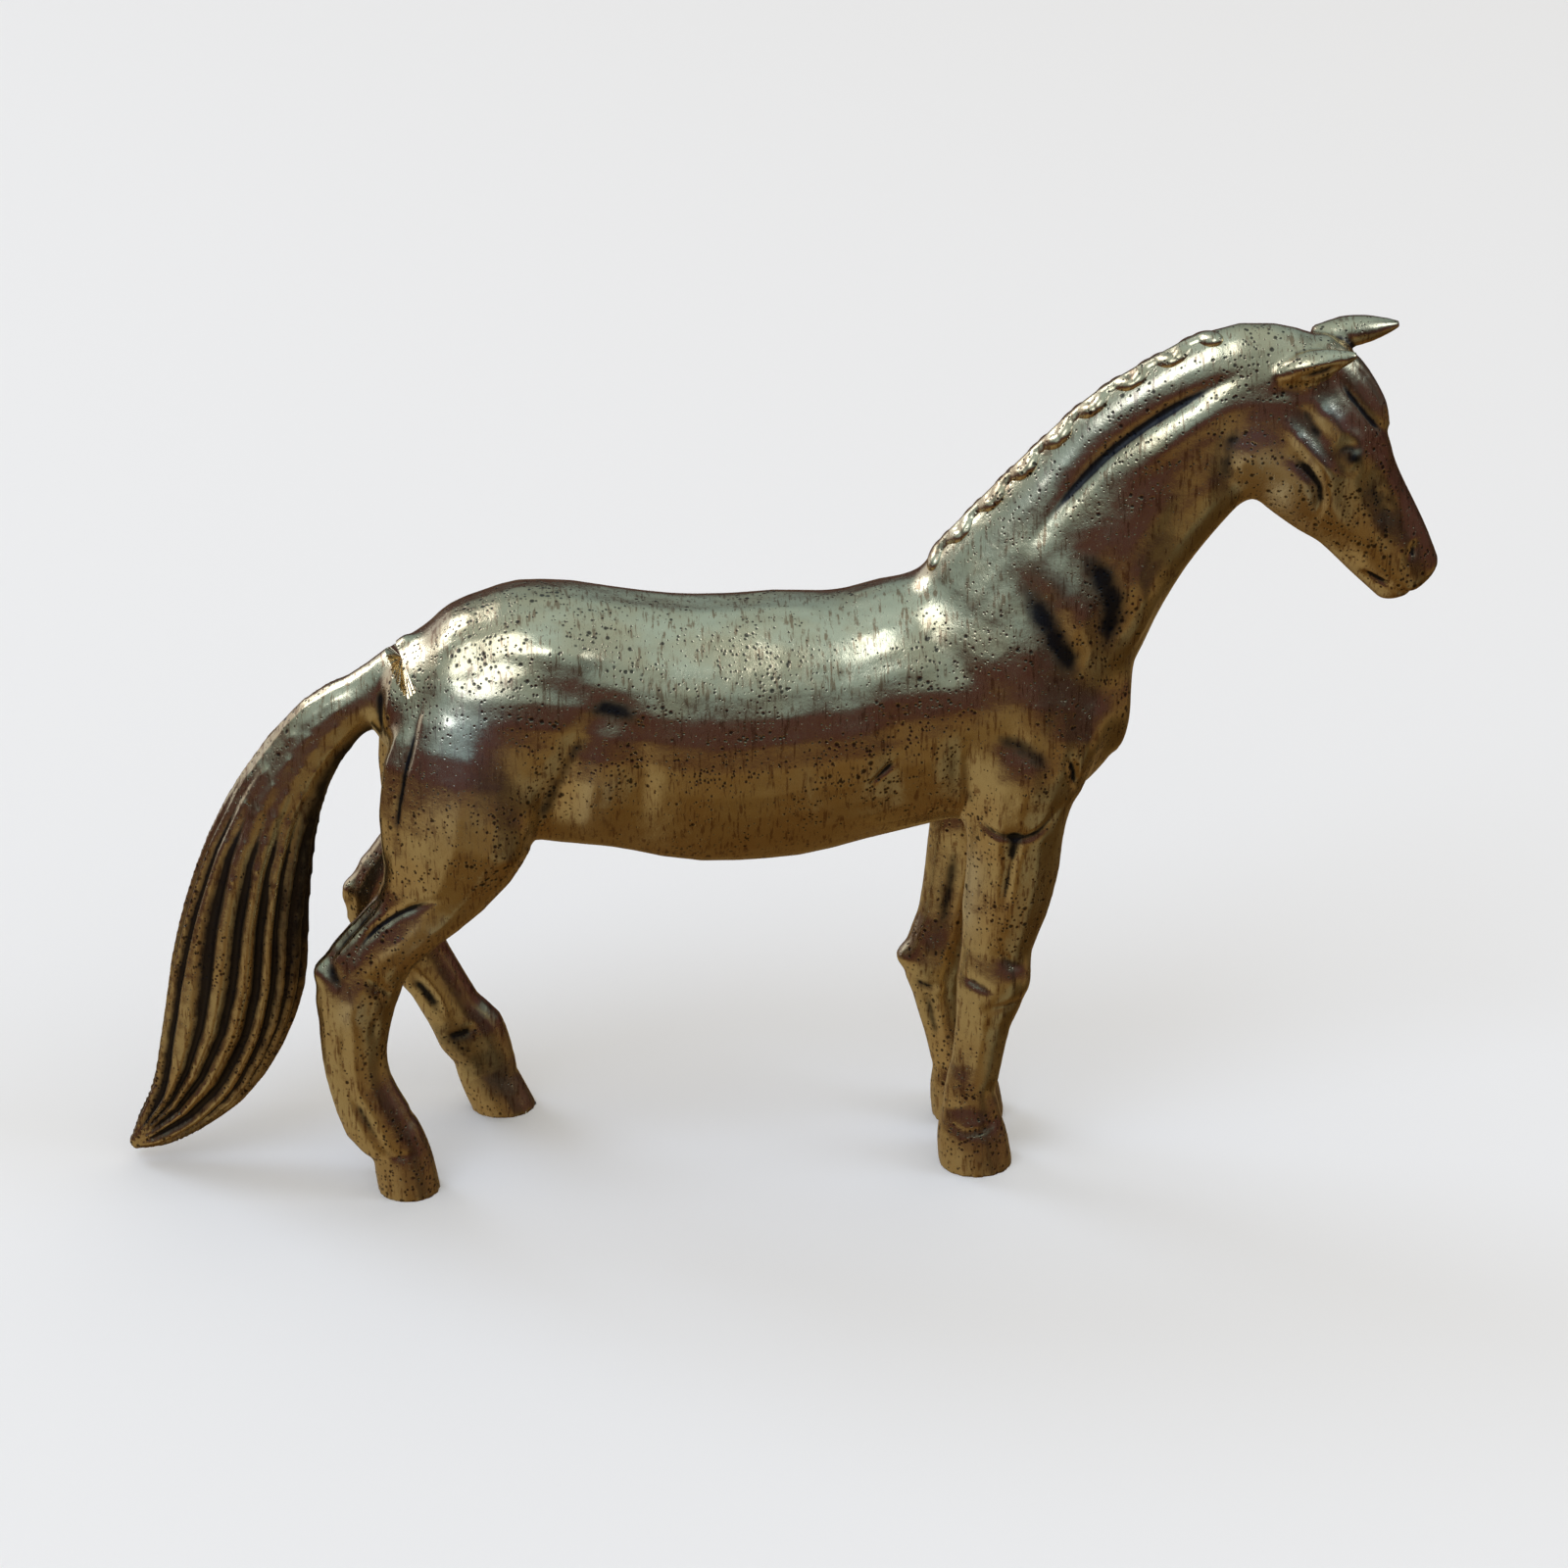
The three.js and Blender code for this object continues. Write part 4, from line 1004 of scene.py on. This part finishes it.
def make_plaits(material):
    """The plaits as one closed mesh, their lobes melted a little into each other."""
    s = settings()
    points = crest_line()
    mesh = bpy.data.meshes.new("plaited_mane")
    sunk = [point - Vector((0, 0, s.mane_sink)) for point in points]
    mesh.from_pydata(sunk, [(i, i + 1) for i in range(len(sunk) - 1)], [])
    obj = new_object("cast_plaited_mane", mesh)
    tree, sockets = plait_tree(material)
    modifier = obj.modifiers.new("Plaits", "NODES")
    modifier.node_group = tree
    modifier[sockets["count"]] = s.plait_count
    modifier[sockets["size"]] = s.plait_size
    modifier[sockets["lean"]] = math.radians(LOBE_LEAN)
    baked(obj)
    remesh = obj.modifiers.new("Remesh", "REMESH")
    remesh.mode = "VOXEL"
    remesh.voxel_size = MANE_GRAIN
    remesh.use_smooth_shade = True
    baked(obj)
    mesh = obj.data
    near = Neighbours(len(mesh.vertices), edges(mesh))
    co = soften(coords(mesh), near, 5, np.full(len(mesh.vertices), 0.5))
    write_coords(mesh, co)
    hollow = hollows(co, near, mesh, 16)
    for name, values in (("hollow", 1.3 * hollow), ("patina_and_shade", np.clip(14 * hollow + 0.1, 0, 1))):
        mesh.attributes.new(name, "FLOAT", "POINT").data.foreach_set("value", values)
    return obj


# ---------------------------------------------------------------------------
# Settings and operators
# ---------------------------------------------------------------------------


class BrassHorseSettings(bpy.types.PropertyGroup):
    """Sizes and finishes of the horse."""

    grain: bpy.props.FloatProperty(
        name="Skin grain",
        description="Spacing of the skin's vertices",
        default=0.17 * MM, unit="LENGTH",
    )
    braze_gap: bpy.props.FloatProperty(
        name="Braze gap",
        description="Gap between two sections, which the skin closes",
        default=0.12 * MM, unit="LENGTH",
    )
    crease_depth: bpy.props.FloatProperty(
        name="Crease depth",
        description="How deep the grooves and ridges are, as a share of the usual",
        default=1.0,
    )
    flute_depth: bpy.props.FloatProperty(
        name="Flute depth",
        description="Depth of the valleys in the tail",
        default=0.42 * MM, unit="LENGTH",
    )
    plait_count: bpy.props.IntProperty(
        name="Plait lobes",
        description="Lobes in the plaited mane",
        default=16, min=2,
    )
    plait_size: bpy.props.FloatProperty(
        name="Plait size",
        description="Half the height of a lobe",
        default=0.6 * MM, unit="LENGTH",
    )
    mane_sink: bpy.props.FloatProperty(
        name="Mane sink",
        description="How far the plait's middle lies under the crest",
        default=0.38 * MM, unit="LENGTH",
    )
    polish: bpy.props.FloatProperty(
        name="Polish",
        description="Roughness of the clean metal",
        default=0.24, min=0, max=1,
    )
    brass_colour: bpy.props.FloatVectorProperty(
        name="Brass",
        description="Clean metal",
        default=(0.8, 0.68, 0.42), subtype="COLOR", min=0, max=1,
    )
    warm_colour: bpy.props.FloatVectorProperty(
        name="Warm brass",
        description="Metal with a first warm tarnish",
        default=(0.74, 0.57, 0.32), subtype="COLOR", min=0, max=1,
    )
    tarnish_colour: bpy.props.FloatVectorProperty(
        name="Tarnish",
        description="Brown tarnish",
        default=(0.4, 0.26, 0.14), subtype="COLOR", min=0, max=1,
    )
    # the rubbed colour is also a painted highlight: it whitens the brass on the swells
    rub_and_highlight_colour: bpy.props.FloatVectorProperty(
        name="Rubbed brass and highlight",
        description="Metal on the swells that hands rub",
        default=(0.98, 0.96, 0.84), subtype="COLOR", min=0, max=1,
    )
    # the patina colour is also the colour of the painted shade
    patina_and_shade_colour: bpy.props.FloatVectorProperty(
        name="Patina and shade",
        description="What lies in the creases",
        default=(0.014, 0.018, 0.028), subtype="COLOR", min=0, max=1,
    )
    window_light: bpy.props.FloatProperty(
        name="Window light",
        description="Strength of the large soft light",
        default=1.0,
    )


# For each slot, its material's name, tint and dullness.
FINISHES = {
    "body": ("polished cast brass", 1, 0),
    "locks": ("fluted cast brass", 0.94, 0.3),
    "hooves": ("dull cast brass", 0.85, 0.6),
}


def brass(slot):
    """The slot's material, made when it is first asked for."""
    if slot not in _made:
        _made[slot] = brass_material(*FINISHES[slot])
    return _made[slot]


class HORSE_OT_trunk(bpy.types.Operator):
    """Models the trunk with the shoulders and haunches"""

    bl_idname = "horse.trunk"
    bl_label = "Trunk"

    def execute(self, context):
        add_sections(["trunk"], "body")
        return {"FINISHED"}


class HORSE_OT_neck_and_head(bpy.types.Operator):
    """Models the neck, the head and both ears"""

    bl_idname = "horse.neck_and_head"
    bl_label = "Neck and head"

    def execute(self, context):
        add_sections(["neck", "head", "right_ear", "left_ear"], "body")
        return {"FINISHED"}


class HORSE_OT_hair(bpy.types.Operator):
    """Models the tail and the forelock"""

    bl_idname = "horse.hair"
    bl_label = "Tail and forelock"

    def execute(self, context):
        add_sections(["tail", "forelock"], "locks")
        return {"FINISHED"}


class HORSE_OT_plaited_mane(bpy.types.Operator):
    """Sets the plaits along the crest of the neck"""

    bl_idname = "horse.plaited_mane"
    bl_label = "Plaited mane"

    def execute(self, context):
        finish_piece(make_plaits(brass("locks")), "plaited_mane", "locks")
        return {"FINISHED"}


class HORSE_OT_legs(bpy.types.Operator):
    """Models the four legs down to the coronet"""

    bl_idname = "horse.legs"
    bl_label = "Legs"

    def execute(self, context):
        add_sections([node for node in SKIN_NODES if node.endswith("leg")], "body")
        return {"FINISHED"}


class HORSE_OT_hooves(bpy.types.Operator):
    """Models the four hooves"""

    bl_idname = "horse.hooves"
    bl_label = "Hooves"

    def execute(self, context):
        add_sections([node for node in SKIN_NODES if node.endswith("hoof")], "hooves")
        return {"FINISHED"}


class HORSE_OT_stage(bpy.types.Operator):
    """Lays the floor and sets the lights and the camera"""

    bl_idname = "horse.stage"
    bl_label = "Stage"

    def execute(self, context):
        make_floor()
        make_world()
        make_lights()
        make_camera()
        context.scene.view_settings.view_transform = "Standard"
        return {"FINISHED"}


def make_floor():
    """A pale, dull sheet, wide enough to fill the view from low down. The metal doesn't mirror it,
    since the room's own ramp says what is below the horizon."""
    half = 2.5
    corners = [(-half, -half, 0), (half, -half, 0), (half, half, 0), (-half, half, 0)]
    mesh = bpy.data.meshes.new("floor")
    mesh.from_pydata(corners, [], [(0, 1, 2, 3)])
    floor = new_object("floor", mesh)
    material = bpy.data.materials.new("pale floor")
    material.use_nodes = True
    shader = material.node_tree.nodes["Principled BSDF"]
    shader.inputs["Base Color"].default_value = (0.85, 0.85, 0.85, 1)
    shader.inputs["Roughness"].default_value = 0.9
    mesh.materials.append(material)
    floor.visible_glossy = False
    floor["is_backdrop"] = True


# The room as the metal mirrors it: how high above the horizon (-1 to 1), and its colour and light.
# It is a warm table, then the dark foot of the walls, then the pale upper room.
ROOM = [
    (-1.0, (0.105, 0.056, 0.018)),
    (-0.68, (0.13, 0.075, 0.024)),
    (-0.44, (0.19, 0.128, 0.056)),
    (-0.3, (0.12, 0.068, 0.03)),
    (-0.17, (0.045, 0.015, 0.015)),
    (0.0, (0.062, 0.022, 0.026)),
    (0.18, (0.058, 0.022, 0.026)),
    (0.28, (0.03, 0.03, 0.038)),
    (0.37, (0.21, 0.3, 0.37)),
    (0.7, (0.27, 0.39, 0.49)),
    (1.0, (0.4, 0.56, 0.7)),
]
# Where the room differs from that: the colour there, and for each direction the place where it
# begins and the place where it is full.
ROOM_PATCHES = [
    ((0.3, 0.235, 0.135), [("X", -0.08, -0.4), ("Z", -0.25, -0.42)]),
    ((0.21, 0.18, 0.115), [("X", 0.2, 0.36), ("Y", -0.25, -0.45), ("Z", -0.45, -0.6)]),
    ((0.6, 0.62, 0.72), [("X", -0.36, -0.52), ("Y", 0.2, 0.45), ("Z", -0.22, 0.0)]),
]
MAKER_SHADE = 0.55  # how much the person who stands in front to the right darkens the room
ROOM_AIR = (0.755, 0.712, 0.635)  # what lights the floor

# Each lamp's place, width and power, in metres and watts.
LAMPS = [
    ("window", (-0.25, -0.3, 0.55), 0.36, 0.74),
    ("fill", (0.45, -0.1, 0.4), 0.3, 0.5),
    ("back", (-0.42, 0.32, 0.42), 0.3, 0.75),
]
LAMP_COLOUR = (0.81, 0.96, 1.24)

CAMERA_AZIMUTH, CAMERA_ELEVATION = -3, 26  # degrees round from the right side, and up
CAMERA_DISTANCE = 280  # mm
CAMERA_TARGET = (0.8395, 0, 23.55)  # mm
VIEW_WIDTH = 89.76  # mm, at the target
FILM_WIDTH = 36  # mm


def make_world():
    """The room round the horse: a ramp and its patches for what the metal mirrors, and even air for
    the rest."""
    world = bpy.data.worlds.new("studio")
    world.use_nodes = True
    n = Nodes(world.node_tree)
    output = n.add("ShaderNodeOutputWorld")
    place = n.add("ShaderNodeTexCoord").outputs["Generated"]
    split = n.add("ShaderNodeSeparateXYZ")
    n.link(place, split.inputs[0])
    height = n.math("ADD", n.math("MULTIPLY", split.outputs["Z"], 0.5), 0.5)
    ramp = n.add("ShaderNodeValToRGB")
    stops = ramp.color_ramp.elements
    while len(stops) < len(ROOM):
        stops.new(0.5)
    for stop, (up, colour) in zip(stops, ROOM):
        stop.position = 0.5 + 0.5 * up
        stop.color = (*colour, 1)
    n.link(height, ramp.inputs[0])
    colour = ramp.outputs[0]
    for patch, ranges in ROOM_PATCHES:
        cover = 1.0
        for axis, edge, full in ranges:
            cover = n.math("MULTIPLY", n.span(split.outputs[axis], edge, full), cover)
        colour = n.mix(cover, colour, patch)
    side = split.outputs["X"]
    maker = n.math("MULTIPLY", n.span(side, 0.38, 0.6), n.span(side, 0.92, 0.78))
    shade = n.math("SUBTRACT", 1.0, n.math("MULTIPLY", maker, MAKER_SHADE))
    mirrored_room = n.add("ShaderNodeBackground")
    n.link(shade, mirrored_room.inputs["Strength"])
    n.link(colour, mirrored_room.inputs["Color"])
    air = n.add("ShaderNodeBackground")
    air.inputs["Color"].default_value = (*ROOM_AIR, 1)
    choice = n.add("ShaderNodeMixShader")
    n.link(n.add("ShaderNodeLightPath").outputs["Is Glossy Ray"], choice.inputs[0])
    n.link(air.outputs[0], choice.inputs[1])
    n.link(mirrored_room.outputs[0], choice.inputs[2])
    n.link(choice.outputs[0], output.inputs[0])
    bpy.context.scene.world = world


def make_lights():
    low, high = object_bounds()
    middle = (Vector(low) + Vector(high)) / 2
    for name, place, size, power in LAMPS:
        lamp = bpy.data.lights.new(name, "AREA")
        lamp.shape = "DISK"
        lamp.size = size
        lamp.energy = power * settings().window_light
        lamp.color = LAMP_COLOUR
        obj = bpy.data.objects.new(name, lamp)
        obj.location = place
        obj.rotation_euler = (middle - obj.location).to_track_quat("-Z", "Y").to_euler()
        bpy.context.scene.collection.objects.link(obj)


def make_camera():
    """Looks down a little at the right side, from a quarter of a metre away."""
    azimuth, elevation = math.radians(CAMERA_AZIMUTH), math.radians(CAMERA_ELEVATION)
    level = math.cos(elevation)
    back = Vector((math.sin(azimuth) * level, -math.cos(azimuth) * level, math.sin(elevation)))
    camera = bpy.data.cameras.new("camera")
    camera.sensor_width = FILM_WIDTH
    camera.lens = FILM_WIDTH * CAMERA_DISTANCE / VIEW_WIDTH
    obj = bpy.data.objects.new("camera", camera)
    obj.location = (Vector(CAMERA_TARGET) + back * CAMERA_DISTANCE) * MM
    obj.rotation_euler = back.to_track_quat("Z", "Y").to_euler()
    bpy.context.scene.collection.objects.link(obj)
    bpy.context.scene.camera = obj


class HORSE_PT_panel(bpy.types.Panel):
    """Lists the horse's sections and its settings"""

    bl_label = "Brass horse"
    bl_idname = "HORSE_PT_panel"
    bl_space_type = "VIEW_3D"
    bl_region_type = "UI"
    bl_category = "Brass horse"

    def draw(self, context):
        for operator in OPERATORS:
            self.layout.operator(operator.bl_idname)
        for name in BrassHorseSettings.__annotations__:
            self.layout.prop(context.scene.brass_horse, name)


OPERATORS = [
    HORSE_OT_trunk,
    HORSE_OT_neck_and_head,
    HORSE_OT_hair,
    HORSE_OT_plaited_mane,
    HORSE_OT_legs,
    HORSE_OT_hooves,
    HORSE_OT_stage,
]
CLASSES = [BrassHorseSettings, *OPERATORS, HORSE_PT_panel]


def register():
    for cls in CLASSES:
        bpy.utils.register_class(cls)
    bpy.types.Scene.brass_horse = bpy.props.PointerProperty(type=BrassHorseSettings)


def unregister():
    del bpy.types.Scene.brass_horse
    for cls in reversed(CLASSES):
        bpy.utils.unregister_class(cls)


def main():
    register()
    bpy.ops.horse.trunk()
    bpy.ops.horse.neck_and_head()
    bpy.ops.horse.hair()
    bpy.ops.horse.plaited_mane()
    bpy.ops.horse.legs()
    bpy.ops.horse.hooves()
    bpy.data.objects.remove(_made["skin"])
    bpy.ops.horse.stage()


if __name__ == "__main__":
    main()
